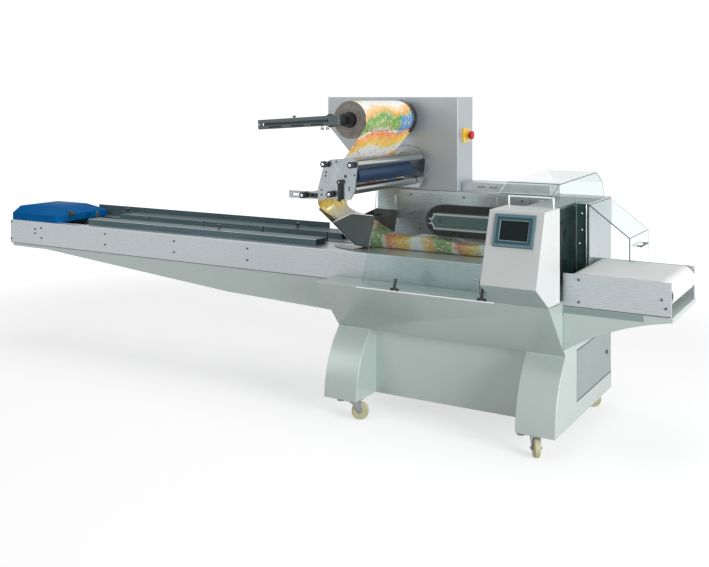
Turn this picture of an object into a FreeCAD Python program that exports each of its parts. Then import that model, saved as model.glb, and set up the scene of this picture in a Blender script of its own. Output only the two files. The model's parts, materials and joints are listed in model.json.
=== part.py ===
"""A horizontal film wrapping machine: infeed table, film reel and feed unit, forming box, brush press,
end-seal station with a control column, outfeed belt, and a pedestal on four swivel casters.

Millimetres. X runs with the product, from the infeed to the outfeed. Y runs from the operator's side to
the back.
Z is up, and the origin lies on the floor under the middle of the machine's overall box.
"""

import FreeCAD
import Part
import math
import os

# Driving dimensions of the whole machine
total_length = 4380.0
total_depth = 1205.0
total_height = 1700.0

left_end = -total_length / 2
right_end = total_length / 2
operator_face = -total_depth / 2
back_face = total_depth / 2

# Pedestal, legs and lower housing
base_left = 411.0
base_right = 1682.0
base_bottom = 104.0
waist_height = 455.0
deck_height = 731.0
pedestal_front = -135.5
leg_width = 198.0
leg_toe = -345.5
leg_bulge_y = -312.0
leg_bulge_z = 275.0
waist_front = -192.5
deck_front = -429.5
hatch_front = -13.0
hatch_bottom = 190.0
hatch_top = 448.0
hatch_depth = 4.0
hatch_thickness = 6.0
panel_gap = 3.0

# Control column
column_left = 1413.0
column_back = -274.0
column_nose_height = 844.0
column_top = 1177.0
column_top_front = -484.5
screen_width = 196.0
screen_height = 152.0
screen_drop = 18.0
screen_depth = 8.0
screen_proud = 6.0
display_width = 140.0
display_height = 96.0
display_recess = 3.0
bail_radius = 4.0
bail_inset = 24.0
bail_height = 46.0

# Conveyor frame shared by infeed, forming table and outfeed
conveyor_front = -235.5
conveyor_back = 279.5
side_thickness = 6.0
side_bottom = 710.0
side_top = 866.0
flange_width = 65.0
floor_thickness = 4.0
slot_width = 30.0
table_left = -1518.0
table_right = 246.0
table_top = 905.0
table_wall = 3.0
front_table = (-170.5, -66.0)
back_table = (112.0, 262.0)
fence_top = 938.0
fence_left = -1875.0
fence_right = 57.0
fence_thickness = 8.0
bed_drop = 66.0
bed_thickness = 6.0

# Infeed chain with its pushers
chain_left = -1740.0
chain_pitch = 76.2
chain_cord = 4.0
chain_link_length = 60.0
chain_link_height = 16.0
chain_width = 22.0
chain_drop = 14.0
pusher_every = 6
pusher_first = 1
pusher_height = 55.0
pusher_thickness = 8.0

# Infeed end cover and support brackets
cover_right = -1770.0
cover_wall_top = 912.0
cover_top = 958.0
cover_inset = 36.0
cover_back_inset = 96.0
cover_end_inset = 100.0
bracket_inset = 3.0
bracket_wall = 4.0
bracket_drop_left = 20.0
bracket_kink_x = -1850.0
bracket_knee_x = -320.0
bracket_knee_z = 567.0
bracket_root_z = 541.0
outfeed_bracket_tip = 686.0
outfeed_bracket_mid_x = 1912.0
outfeed_bracket_mid_z = 612.0
outfeed_bracket_root = 492.0

# Outfeed belt
belt_thickness = 4.0
belt_roller_radius = 58.0
belt_side_gap = 12.0

# Rear cabinet and reel tower
cabinet_left = 330.0
cabinet_front = 387.5
cabinet_top = 1155.0
tower_left = -25.0
tower_right = 856.0
tower_shoulder = 1526.0
rear_box_left = 858.0
rear_box_right = 1391.0
rear_box_front = 440.0
rear_box_top = 1210.0
seal_housing_front = 192.5
backing_left = 481.0
backing_right = 1290.0
backing_bottom = 905.0
backing_thickness = 10.0
backing_corner = 55.0

# Film reel
reel_x = 517.0
reel_z = 1578.0
roll_radius = 102.0
core_radius = 44.0
shaft_radius = 21.0
shaft_flange_radius = 65.6
clamp_radius = 35.0
clamp_length = 34.0
shaft_end = -452.5
roll_front = -252.5
roll_back = 330.0
chuck_radius = 82.0
chuck_bolts = 6
chuck_bolt_reach = 65.6
chuck_bolt_radius = 5.0
hub_proud = 2.0
chuck_thickness = 14.0
front_chuck_radius = 34.0
front_chuck_length = 60.0
run_clearance = 0.1
cut_margin = 1.0
arm_left = 71.0
arm_height = 52.0
arm_tilt = 3.6
arm_thickness = 20.0
arm_bar_height = 20.0
arm_slot_height = 6.0
arm_slots_at = (0.14, 0.42, 0.66)
arm_slot_share = 0.16

# Film feed unit
unit_front = -437.5
unit_plate = 10.0
unit_back = 345.0
bar_radius = 11.0
left_roller = (482.0, 1351.0, 16.0)
right_roller = (645.0, 1352.0, 16.0)
rubber_roller = (600.0, 1292.0, 45.0)
nip_roller = (590.0, 1214.0, 24.0)
guide_roller = (345.0, 1183.0, 14.0)
unit_left = 432.0
unit_bottom = 1172.0
unit_outline = (
    (unit_left, unit_bottom),
    (628.0, unit_bottom),
    (657.0, 1220.0),
    (672.0, 1366.0),
    (640.0, 1388.0),
    (507.0, 1375.0),
    (463.0, 1330.0),
    (unit_left, 1224.0),
)
tie_bars_at = ((519.0, 1197.0), (470.0, 1300.0))
standoffs_at = ((470.0, 1262.0), (648.0, 1320.0), (640.0, 1240.0), (540.0, 1352.0))
drum_gap = 6.0
rubber_front = -370.0
rubber_back = 230.0
journal_radius = 8.0
knob_height = 22.0
knob_stem = 10.0
knob_stem_radius = 10.5
knob_core_radius = 13.6
knob_lobe_radius = 5.8
knob_lobe_reach = 12.2
knob_lobes = 6
scale_left = 242.0
scale_height = 40.0
scale_thickness = 8.0
scale_slot = 10.0
lever_x = 574.0
lever_z = 1262.0
lever_length = 92.0
lever_hub = 13.0
lever_thickness = 16.0
lever_stand_off = 8.0
pivot_radius = 5.0

# Forming box and film
path_centre = 22.0
former_half_width = 140.0
former_wall = 4.0
former_bar_radius = 8.0
former_bar_inset = 22.0
former_block = 80.0
former_block_depth = 46.0
former_rod_radius = 9.0
handle_stem = 34.0
handle_grip = 50.0
handle_radius = 9.0
former_rod_offset = 24.0
former_drop_rise = 3.2
former_tip = (233.0, 1070.0)
former_toe = (468.0, 886.0)
former_heel = (557.0, 878.0)
former_crown = (585.0, 1056.0)
former_shoulder = (449.0, 1060.0)
former_gullet = (322.0, 1001.0)
former_opening = 204.0
former_drop = 16.0
film_thickness = 1.5
film_gap = 0.6
film_front = -248.0
film_back = 326.0
tube_width = 170.0
tube_height = 78.0
tube_left = 592.0
tube_right = 1404.0
tube_corner = 24.0

# Brush press
brush_left = 846.0
brush_right = 1300.0
brush_centre_z = 1037.0
brush_pulley = 44.0
brush_belt = 5.0
brush_length = 38.0
brush_width = 96.0
brush_frame_wall = 6.0
brush_margin = 7.0
brush_arm_radius = 14.0

# End-seal station
jaw_x = 1530.0
jaw_radius = 62.0
jaw_face = 26.0
jaw_shaft = 22.0
jaw_low_z = 792.0
jaw_high_z = 1028.0
seal_half_length = 84.0
seal_cap = 12.0
seal_wing = 130.0
seal_plate = 14.0
seal_plate_front = -262.0

# Transparent guards
guard_thickness = 6.0
door_left = 690.0
door_right = 1366.0
door_knee = (-287.2, 1093.0)
door_head = (-276.5, 1210.0)
door_hinge_x = (878.0, 1348.0)
hinge_width = 44.0
hinge_leaf = 44.0
leaf_thickness = 3.0
hinge_pin_radius = 5.0
hinge_rise = 3.0
hinge_clearance = 1.0
door_knuckle = (0.32, 0.68)
deck_knuckles = ((0.0, 0.3), (0.7, 1.0))
hood_lip = (-374.5, 1243.0)
hood_brow = (-273.5, 1290.0)
hood_ridge = (328.5, 1306.0)
hood_shoulder = (439.5, 1250.0)
hood_foot_y = 477.5
outfeed_guard_knee_x = 1890.0
outfeed_guard_knee_z = 990.0
outfeed_guard_foot = 872.0
outfeed_guard_drop = 6.0
outfeed_guard_inset = 28.0

# Emergency stop
stop_y = 492.0
stop_z = 1478.0
stop_plate = 84.0
stop_plate_depth = 10.0
stop_collar_radius = 15.0
stop_collar_length = 16.0
stop_head_radius = 24.0
stop_head_length = 16.0
stop_travel = 6.0
stop_stem_radius = 8.0
stop_clearance = 1.0

# Casters and levelling feet
casters_at = {
    "front_left": (571.0, -300.0, 30.6),
    "front_right": (1566.0, -295.0, -59.4),
    "back_left": (571.0, 535.0, 160.0),
    "back_right": (1566.0, 535.0, 20.0),
}
wheel_radius = 45.0
wheel_width = 30.0
wheel_bore = 6.0
wheel_bevel = 5.0
caster_trail = 32.0
caster_plate_side = 70.0
caster_plate_thickness = 5.0
fork_gap = 3.0
fork_wall = 4.0
fork_eye = 12.0
fork_thickness = 7.2
kingpin_radius = 8.0
feet_x = (494.0, 1500.0)
feet_y = (-307.5, 540.0)
foot_radius = 20.0
foot_stem_radius = 6.0
foot_drop = 9.0
foot_pad = 6.0


def box(x, y, z):
    """A block between the low and high values of each axis."""
    block = Part.makeBox(x[1] - x[0], y[1] - y[0], z[1] - z[0])
    block.translate(FreeCAD.Vector(x[0], y[0], z[0]))
    return block


def rod(radius, start, end):
    """A round bar from one point to another."""
    start, end = FreeCAD.Vector(*start), FreeCAD.Vector(*end)
    return Part.makeCylinder(radius, (end - start).Length, start, end - start)


def tube(outer, inner, start, end):
    """A round bar with a bore along it."""
    return rod(outer, start, end).cut(rod(inner, start, end))


def along_x(profile, x):
    """A solid with a (y, z) outline, running between two x values."""
    points = [FreeCAD.Vector(x[0], y, z) for y, z in profile]
    face = Part.Face(Part.makePolygon(points + points[:1]))
    return face.extrude(FreeCAD.Vector(x[1] - x[0], 0, 0))


def along_y(profile, y):
    """A solid with an (x, z) outline, running between two y values."""
    points = [FreeCAD.Vector(x, y[0], z) for x, z in profile]
    face = Part.Face(Part.makePolygon(points + points[:1]))
    return face.extrude(FreeCAD.Vector(0, y[1] - y[0], 0))


def fuse(*shapes):
    """One solid from shapes that share faces or overlap."""
    joined = shapes[0]
    for shape in shapes[1:]:
        joined = joined.fuse(shape)
    return joined.removeSplitter()


def group(*shapes):
    """Several solids that stay apart, kept in one node."""
    return Part.makeCompound(list(shapes))


def sheet_between(outline, thickness):
    """An open (u, v) outline followed by the same outline set off by the thickness, to close a strip."""
    offset = []
    for index, (u, v) in enumerate(outline):
        before = outline[max(index - 1, 0)]
        after = outline[min(index + 1, len(outline) - 1)]
        directions = []
        for start, end in ((before, (u, v)), ((u, v), after)):
            length = math.hypot(end[0] - start[0], end[1] - start[1])
            if length:
                directions.append(((end[0] - start[0]) / length, (end[1] - start[1]) / length))
        normals = [(-dv, du) for du, dv in directions]
        nu = sum(n[0] for n in normals) / len(normals)
        nv = sum(n[1] for n in normals) / len(normals)
        scale = thickness / (nu * nu + nv * nv)
        offset.append((u + nu * scale, v + nv * scale))
    return list(outline) + offset[::-1]


def leg(x):
    """A boot-shaped leg fairing: its front swells out from the waist and drops to the toe."""
    toe = FreeCAD.Vector(x[0], leg_toe, base_bottom)
    bulge = FreeCAD.Vector(x[0], leg_bulge_y, leg_bulge_z)
    waist = FreeCAD.Vector(x[0], waist_front, waist_height)
    back_top = FreeCAD.Vector(x[0], pedestal_front, waist_height)
    back_low = FreeCAD.Vector(x[0], pedestal_front, base_bottom)
    edges = [
        Part.Arc(toe, bulge, waist).toShape(),
        Part.LineSegment(waist, back_top).toShape(),
        Part.LineSegment(back_top, back_low).toShape(),
        Part.LineSegment(back_low, toe).toShape(),
    ]
    return Part.Face(Part.Wire(edges)).extrude(FreeCAD.Vector(x[1] - x[0], 0, 0))


def pedestal():
    """The lower cabinet, with the seat of its end hatch let into the outfeed side."""
    block = box((base_left, base_right), (pedestal_front, back_face), (base_bottom, waist_height))
    seat = box(
        (base_right - hatch_thickness, base_right), (hatch_front, back_face), (hatch_bottom, hatch_top)
    )
    return block.cut(seat)


def end_hatch():
    """The hatch in the pedestal's outfeed end, a little below the surface and a seam from its frame."""
    return box(
        (base_right - hatch_thickness, base_right - hatch_thickness + hatch_depth),
        (hatch_front + panel_gap, back_face - panel_gap),
        (hatch_bottom + panel_gap, hatch_top - panel_gap),
    )


def lower_housing():
    """The housing under the deck, whose front leans out from the waist to the deck's edge."""
    profile = (
        (waist_front, waist_height),
        (deck_front, deck_height),
        (back_face, deck_height),
        (back_face, waist_height),
    )
    return along_x(profile, (base_left, base_right))


def column_slope():
    """Direction up the column's leaning front, as (y, z), with its length."""
    rise = column_top - column_nose_height
    run = column_top_front - operator_face
    length = math.hypot(rise, run)
    return run / length, rise / length, length


def on_column(across, up, out):
    """A point on the column's front: across from its middle, up from its top edge, out along its normal."""
    dy, dz, _ = column_slope()
    middle = (column_left + base_right) / 2
    y = column_top_front + dy * up - dz * out
    return FreeCAD.Vector(middle + across, y, column_top + dz * up + dy * out)


def front_panel(width, top, height, near, far):
    """A block laid on the column's front, between two distances along its normal."""
    corners = [on_column(-width / 2, -top, near), on_column(width / 2, -top, near)]
    corners += [on_column(width / 2, -top - height, near), on_column(-width / 2, -top - height, near)]
    face = Part.Face(Part.makePolygon(corners + corners[:1]))
    return face.extrude(on_column(0, 0, far) - on_column(0, 0, near))


def control_column():
    """The white column at the operator's side, with the screen's pocket in its leaning front."""
    profile = (
        (column_top_front, column_top),
        (operator_face, column_nose_height),
        (deck_front, deck_height),
        (column_back, deck_height),
        (column_back, column_top),
    )
    pocket = front_panel(screen_width, screen_drop, screen_height, -screen_depth, cut_margin)
    return along_x(profile, (column_left, base_right)).cut(pocket)


def screen_bezel():
    """The frame of the touch screen, seated in the column's pocket and standing a little proud."""
    frame = front_panel(screen_width, screen_drop, screen_height, -screen_depth, screen_proud)
    border = (screen_height - display_height) / 2
    near, far = screen_proud - display_recess * 2, screen_proud + cut_margin
    window = front_panel(display_width, screen_drop + border, display_height, near, far)
    return frame.cut(window)


def screen_glass():
    """The display, lying in the bezel's window."""
    border = (screen_height - display_height) / 2
    near, far = screen_proud - display_recess * 2, screen_proud - display_recess
    return front_panel(display_width, screen_drop + border, display_height, near, far)


def conveyor_side(y, flange_y):
    """One side of the conveyor, from the infeed's tail to the column, with a flange along its top."""
    profile = (
        (left_end, side_bottom),
        (base_left, side_bottom),
        (base_left, deck_height),
        (column_left, deck_height),
        (column_left, side_top),
        (left_end, side_top),
    )
    flange = box((left_end, column_left), flange_y, (side_top - side_thickness, side_top))
    return fuse(along_y(profile, y), flange)


def conveyor_sides():
    """Both sides of the conveyor."""
    front = conveyor_side(
        (conveyor_front, conveyor_front + side_thickness),
        (conveyor_front, conveyor_front + flange_width + table_wall),
    )
    back = conveyor_side(
        (conveyor_back - side_thickness, conveyor_back), (conveyor_back - flange_width, conveyor_back)
    )
    return group(front, back)


def infeed_bed():
    """The tray below the chain with its end plate, and the wear strip that the chain slides on."""
    inner = (conveyor_front + side_thickness, conveyor_back - side_thickness)
    tray_top = side_top - bed_drop
    tray = box((left_end, base_left), inner, (tray_top - bed_thickness, tray_top))
    end_plate = box((left_end, left_end + side_thickness), inner, (side_bottom, side_top - side_thickness))
    link_bottom = floor_top() - chain_drop - chain_link_height
    strip_y = (path_centre - chain_width, path_centre + chain_width)
    strip = box((chain_left, base_left), strip_y, (tray_top, link_bottom))
    return fuse(tray, end_plate, strip)


def floor_top():
    """Height of the floor that the product slides on."""
    return side_top + floor_thickness


def channel_floor():
    """The channel's floor plates, one each side of the chain's slot, from the tail to the column."""
    z = (side_top, floor_top())
    front = box((table_left, column_left), (conveyor_front, path_centre - slot_width / 2), z)
    back = box((table_left, column_left), (path_centre + slot_width / 2, conveyor_back), z)
    return group(front, back)


def table_channel(y):
    """A folded side table: an upside-down sheet channel that stands on the floor beside the product."""
    x = (table_left, table_right)
    outer = box(x, y, (floor_top(), table_top))
    inner = box(x, (y[0] + table_wall, y[1] - table_wall), (floor_top(), table_top - table_wall))
    return outer.cut(inner)


def side_tables():
    """The two side tables along the product channel, and the fence behind the rear one."""
    return group(table_channel(front_table), table_channel(back_table), rear_fence())


def rear_fence():
    """The upright fence along the back of the infeed, behind the side table."""
    y = (conveyor_back - fence_thickness, conveyor_back)
    tail = box((fence_left, table_left), y, (side_top, fence_top))
    fence = box((table_left, fence_right), y, (floor_top(), fence_top))
    return fuse(tail, fence)


def chain_links():
    """The infeed chain's upper run: links a pitch apart on a cord, with a pusher on every sixth link."""
    top = floor_top() - chain_drop
    y = (path_centre - chain_width / 2, path_centre + chain_width / 2)
    count = int((base_left - chain_left) // chain_pitch)
    pieces = []
    for index in range(count):
        x = chain_left + index * chain_pitch
        pieces.append(box((x, x + chain_link_length), y, (top - chain_link_height, top)))
        if index % pusher_every == pusher_first:
            middle = x + chain_link_length / 2
            flight = (middle - pusher_thickness / 2, middle + pusher_thickness / 2)
            pieces.append(box(flight, y, (top, floor_top() + pusher_height)))
    last = chain_left + (count - 1) * chain_pitch + chain_link_length
    middle_z = top - chain_link_height / 2
    cord_y = (path_centre - chain_cord, path_centre + chain_cord)
    cord = box((chain_left, last), cord_y, (middle_z - chain_cord, middle_z + chain_cord))
    return fuse(cord, *pieces)


def end_cover():
    """The hipped cover over the infeed's tail wheel, with its latch hole in the inner end."""
    front, back = conveyor_front + side_thickness * 3, conveyor_back - side_thickness * 6
    left, right = left_end, cover_right
    low = [(left, front), (right, front), (right, back), (left, back)]
    high = [
        (left + cover_inset, front + cover_inset),
        (right - cover_end_inset, front + cover_inset * 3),
        (right - cover_end_inset, back - cover_back_inset),
        (left + cover_inset, back - cover_back_inset),
    ]
    foot = Part.Face(Part.makePolygon([FreeCAD.Vector(x, y, side_top) for x, y in low + low[:1]]))
    wall = foot.extrude(FreeCAD.Vector(0, 0, cover_wall_top - side_top))
    lower = Part.makePolygon([FreeCAD.Vector(x, y, cover_wall_top) for x, y in low + low[:1]])
    upper = Part.makePolygon([FreeCAD.Vector(x, y, cover_top) for x, y in high + high[:1]])
    roof = Part.makeLoft([lower, upper], True, True)
    return fuse(wall, roof)


def infeed_bracket():
    """The folded trough under the infeed, open above: its lower edge drops towards the pedestal."""
    top = side_bottom
    left = left_end + side_thickness * 4
    y = (conveyor_front + bracket_inset, conveyor_back - bracket_inset)
    outer = (
        (left, top),
        (left, top - bracket_drop_left),
        (bracket_kink_x, top - bracket_drop_left),
        (bracket_knee_x, bracket_knee_z),
        (base_left, bracket_root_z),
        (base_left, top),
    )
    inner = (
        (left + bracket_wall, top),
        (left + bracket_wall, top - bracket_drop_left + bracket_wall),
        (bracket_kink_x, top - bracket_drop_left + bracket_wall),
        (bracket_knee_x, bracket_knee_z + bracket_wall),
        (base_left - bracket_wall, bracket_root_z + bracket_wall),
        (base_left - bracket_wall, top),
    )
    return along_y(outer, y).cut(along_y(inner, (y[0] + bracket_wall, y[1] - bracket_wall)))


def outfeed_bracket():
    """The arm under the outfeed, whose lower edge is one long curve from the pedestal to its tip."""
    y0 = conveyor_front + bracket_inset
    root = FreeCAD.Vector(base_right, y0, outfeed_bracket_root)
    middle = FreeCAD.Vector(outfeed_bracket_mid_x, y0, outfeed_bracket_mid_z)
    tip = FreeCAD.Vector(right_end, y0, outfeed_bracket_tip)
    tip_top = FreeCAD.Vector(right_end, y0, side_bottom)
    root_top = FreeCAD.Vector(base_right, y0, side_bottom)
    edges = [
        Part.Arc(root, middle, tip).toShape(),
        Part.LineSegment(tip, tip_top).toShape(),
        Part.LineSegment(tip_top, root_top).toShape(),
        Part.LineSegment(root_top, root).toShape(),
    ]
    width = conveyor_back - conveyor_front - 2 * bracket_inset
    return Part.Face(Part.Wire(edges)).extrude(FreeCAD.Vector(0, width, 0))


def outfeed_side(y):
    return box((base_right, right_end - side_thickness), y, (side_bottom, side_top))


def belt_axes():
    """X of the outfeed belt's two rollers, and the height of their axes."""
    reach = belt_roller_radius + belt_thickness
    return base_right + side_thickness + reach, right_end - reach, side_top - reach


def belt_width():
    return (
        conveyor_front + side_thickness + belt_side_gap,
        conveyor_back - side_thickness - belt_side_gap,
    )


def stadium(x, z, radius, y):
    """A solid with a racetrack outline round two axes that lie along Y."""
    straight = box(x, y, (z - radius, z + radius))
    ends = [rod(radius, (end, y[0], z), (end, y[1], z)) for end in x]
    return fuse(straight, *ends)


def outfeed_belt():
    """The outfeed belt, one closed loop."""
    first, last, height = belt_axes()
    outer = stadium((first, last), height, belt_roller_radius + belt_thickness, belt_width())
    return outer.cut(stadium((first, last), height, belt_roller_radius, belt_width()))


def outfeed_rollers():
    """The two belt rollers with the journals that sit against the side plates."""
    first, last, height = belt_axes()
    width = belt_width()
    sides = (conveyor_front + side_thickness, conveyor_back - side_thickness)
    rollers = []
    for x in (first, last):
        drum = rod(belt_roller_radius, (x, width[0], height), (x, width[1], height))
        journal = rod(journal_radius, (x, sides[0], height), (x, sides[1], height))
        rollers.append(fuse(drum, journal))
    return group(*rollers)


def rear_cabinet():
    """The cabinet along the back of the deck: its deep end beside the end seal, and the box on its roof."""
    body = box((cabinet_left, column_left), (cabinet_front, back_face), (deck_height, cabinet_top))
    deep_end = box((column_left, base_right), (seal_housing_front, back_face), (deck_height, cabinet_top))
    roof = (cabinet_top, rear_box_top)
    roof_box = box((rear_box_left, rear_box_right), (rear_box_front, back_face), roof)
    return fuse(body, deep_end, roof_box)


def reel_tower():
    """The tall flat box that carries the reel and the feed unit, cut away below its infeed shoulder."""
    profile = (
        (tower_left, total_height),
        (tower_right, total_height),
        (tower_right, cabinet_top),
        (cabinet_left, cabinet_top),
        (tower_left, tower_shoulder),
    )
    return along_y(profile, (cabinet_front, back_face))


def backing_plate():
    """The plate on the cabinet's front behind the film path, with its lower infeed corner rounded."""
    y = (cabinet_front - backing_thickness, cabinet_front)
    plate = box((backing_left, backing_right), y, (backing_bottom, cabinet_top))
    corner = [
        edge
        for edge in plate.Edges
        if abs(edge.CenterOfMass.x - backing_left) < 1e-6
        and abs(edge.CenterOfMass.z - backing_bottom) < 1e-6
    ]
    return plate.makeFillet(backing_corner, corner)


def reel_shaft():
    """The fixed shaft that the reel turns on, with its flange on the tower."""
    shaft = rod(shaft_radius, (reel_x, shaft_end, reel_z), (reel_x, cabinet_front, reel_z))
    inner = cabinet_front - backing_thickness
    flange = rod(shaft_flange_radius, (reel_x, inner, reel_z), (reel_x, cabinet_front, reel_z))
    return fuse(shaft, flange)


def film_roll():
    """The wound film on its core."""
    return tube(roll_radius, core_radius, (reel_x, roll_front, reel_z), (reel_x, roll_back, reel_z))


def reel_chucks():
    """The hub that fills the core and runs on the shaft, with the bolted disc behind the roll."""
    bore = shaft_radius + run_clearance
    hub_front = roll_front - hub_proud
    nose_front = roll_front - front_chuck_length
    hub = tube(core_radius, bore, (reel_x, hub_front, reel_z), (reel_x, roll_back, reel_z))
    disc_back = roll_back + chuck_thickness
    disc = tube(chuck_radius, bore, (reel_x, roll_back, reel_z), (reel_x, disc_back, reel_z))
    nose = tube(front_chuck_radius, bore, (reel_x, nose_front, reel_z), (reel_x, hub_front, reel_z))
    bolts = []
    for step in range(chuck_bolts):
        angle = 2 * math.pi * step / chuck_bolts
        x = reel_x + math.cos(angle) * chuck_bolt_reach
        z = reel_z + math.sin(angle) * chuck_bolt_reach
        bolts.append(rod(chuck_bolt_radius, (x, disc_back, z), (x, disc_back + chuck_bolt_radius, z)))
    return fuse(hub, disc, nose, *bolts)


def reel_arm():
    """The slotted arm clamped on the shaft's end: two bars joined at their ends, with the clamp ring."""
    y = (shaft_end - arm_thickness, shaft_end)
    length = reel_x + shaft_radius * 3 - arm_left
    top_bar = box((0, length), y, (arm_height - arm_bar_height, arm_height))
    low_bar = box((0, length), y, (0, arm_bar_height))
    tail = box((0, arm_bar_height), y, (0, arm_height))
    head = box((length - arm_bar_height * 3, length), y, (0, arm_height))
    arm = fuse(top_bar, low_bar, tail, head)
    slots = []
    slot_z = ((arm_bar_height - arm_slot_height) / 2, (arm_bar_height + arm_slot_height) / 2)
    for start in arm_slots_at:
        slots.append(box((length * start, length * (start + arm_slot_share)), y, slot_z))
    for slot in slots:
        arm = arm.cut(slot)
    arm.rotate(FreeCAD.Vector(0, 0, 0), FreeCAD.Vector(0, -1, 0), arm_tilt)
    rise = math.tan(math.radians(arm_tilt)) * (reel_x - arm_left)
    arm.translate(FreeCAD.Vector(arm_left, 0, reel_z - rise - arm_height / 2))
    return arm


def clamp_ring():
    """The split clamp behind the arm, gripping the shaft."""
    end = shaft_end + clamp_length
    return tube(clamp_radius, shaft_radius, (reel_x, shaft_end, reel_z), (reel_x, end, reel_z))


def journals():
    """Bore centres of the rollers that turn in the unit's plates."""
    return [roller[:2] for roller in (left_roller, right_roller, rubber_roller, nip_roller)]


def unit_plate_at(y):
    """One plate of the feed unit, bored for its rollers."""
    plate = along_y(unit_outline, y)
    for x, z in journals():
        plate = plate.cut(rod(journal_radius + run_clearance, (x, y[0], z), (x, y[1], z)))
    return plate


def scale_bar(y):
    """The slotted bar that reaches out to the infeed side and carries one end of the guide roller."""
    x, z, _ = guide_roller
    bar = box((scale_left, tie_bars_at[1][0]), y, (z - scale_height / 2, z + scale_height / 2))
    slot_x = (scale_left + scale_height / 2, x - scale_height)
    slot = box(slot_x, y, (z - scale_slot / 2, z + scale_slot / 2))
    return bar.cut(slot).cut(rod(journal_radius + run_clearance, (x, y[0], z), (x, y[1], z)))


def feed_plates():
    """The unit's two plates, each with its slotted bar, and the pivot that the nip lever hangs on."""
    inside = (unit_front + unit_plate, unit_back)
    pivot = rod(
        pivot_radius,
        (lever_x, unit_front - lever_stand_off - lever_thickness, lever_z),
        (lever_x, unit_front, lever_z),
    )
    front_bar = scale_bar((inside[0], inside[0] + scale_thickness))
    back_bar = scale_bar((unit_back - scale_thickness, unit_back))
    front = fuse(unit_plate_at((unit_front, inside[0])), front_bar, pivot)
    back = fuse(unit_plate_at((unit_back, unit_back + unit_plate)), back_bar)
    return group(front, back)


def feed_bars():
    """The tie bars between the unit's plates, and the bosses that carry the back plate off the tower."""
    gap = (unit_front + unit_plate, unit_back)
    rear = (unit_back + unit_plate, cabinet_front)
    bars = [rod(bar_radius, (x, gap[0], z), (x, gap[1], z)) for x, z in tie_bars_at]
    bosses = [rod(bar_radius, (x, rear[0], z), (x, rear[1], z)) for x, z in standoffs_at]
    return group(*bars, *bosses)


def roller(spec, drum_y, journal_y):
    """A roller with a drum between two y values and a journal into the bore at each end."""
    x, z, radius = spec
    drum = rod(radius, (x, drum_y[0], z), (x, drum_y[1], z))
    return fuse(drum, rod(journal_radius, (x, journal_y[0], z), (x, journal_y[1], z)))


def plate_roller(spec):
    """A roller that fills the width between the unit's plates."""
    drum = (unit_front + unit_plate + drum_gap, unit_back - drum_gap)
    return roller(spec, drum, plate_journal())


def plate_journal():
    """The y values of a journal's two ends, a little short of the plates' outer faces."""
    return unit_front + run_clearance, unit_back + unit_plate - run_clearance


def outer_roller():
    """The guide roller, which turns between the two slotted bars."""
    front = unit_front + unit_plate
    drum = (front + scale_thickness + drum_gap, unit_back - scale_thickness - drum_gap)
    return roller(guide_roller, drum, (front + run_clearance, unit_back - run_clearance))


def star_knob(x, z, face):
    """A black clamp knob that stands on a face towards the operator: a stem and a six-lobed head."""
    base = face - knob_stem
    tip = base - knob_height
    stem = rod(knob_stem_radius, (x, base, z), (x, face, z))
    head = rod(knob_core_radius, (x, tip, z), (x, base, z))
    lobes = []
    for step in range(knob_lobes):
        angle = 2 * math.pi * step / knob_lobes
        lobe_x = x + math.cos(angle) * knob_lobe_reach
        lobe_z = z + math.sin(angle) * knob_lobe_reach
        lobes.append(rod(knob_lobe_radius, (lobe_x, tip, lobe_z), (lobe_x, base, lobe_z)))
    return fuse(stem, head, *lobes)


def feed_knobs():
    """The knobs at the ends of the upper rollers, the lower tie bar and the guide roller."""
    on_plate = (left_roller[:2], right_roller[:2], tie_bars_at[0])
    knobs = [star_knob(x, z, unit_front) for x, z in on_plate]
    return group(*knobs, star_knob(guide_roller[0], guide_roller[1], unit_front + unit_plate))


def nip_lever():
    """The lever that lifts the nip roller, hanging on its pivot in front of the plate."""
    y = (unit_front - lever_stand_off - lever_thickness, unit_front - lever_stand_off)
    half = lever_hub / 2
    hub = rod(lever_hub, (lever_x, y[0], lever_z), (lever_x, unit_front - run_clearance, lever_z))
    arm = box((lever_x - half, lever_x + half), y, (lever_z - lever_length, lever_z))
    tip = rod(half, (lever_x, y[0], lever_z - lever_length), (lever_x, y[1], lever_z - lever_length))
    bore_y = (y[0] - cut_margin, unit_front)
    bore = rod(pivot_radius + run_clearance, (lever_x, bore_y[0], lever_z), (lever_x, bore_y[1], lever_z))
    return fuse(hub, arm, tip).cut(bore)


def film_former():
    """The forming box: two cheeks, the sloping lips that fold the film, and the bar below the crown."""
    near, far = path_centre - former_half_width, path_centre + former_half_width
    cheek = (former_gullet, former_toe, former_heel, former_crown, former_shoulder)
    front = along_y(cheek, (near, near + former_wall))
    back = along_y(cheek, (far - former_wall, far))
    lip = sheet_between((former_tip, former_toe, former_heel), former_wall)
    near_lip = along_y(lip, (near - former_wall, path_centre - former_opening / 2))
    far_lip = along_y(lip, (path_centre + former_opening / 2, far + former_wall))
    bar_x, bar_z = former_bar()
    cross = rod(former_bar_radius, (bar_x, near, bar_z), (bar_x, far, bar_z))
    return fuse(front, back, near_lip, far_lip, cross)


def former_bar():
    """Axis of the bar across the forming box, below its crown."""
    return former_crown[0] - former_bar_inset, former_crown[1] - former_bar_inset


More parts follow.
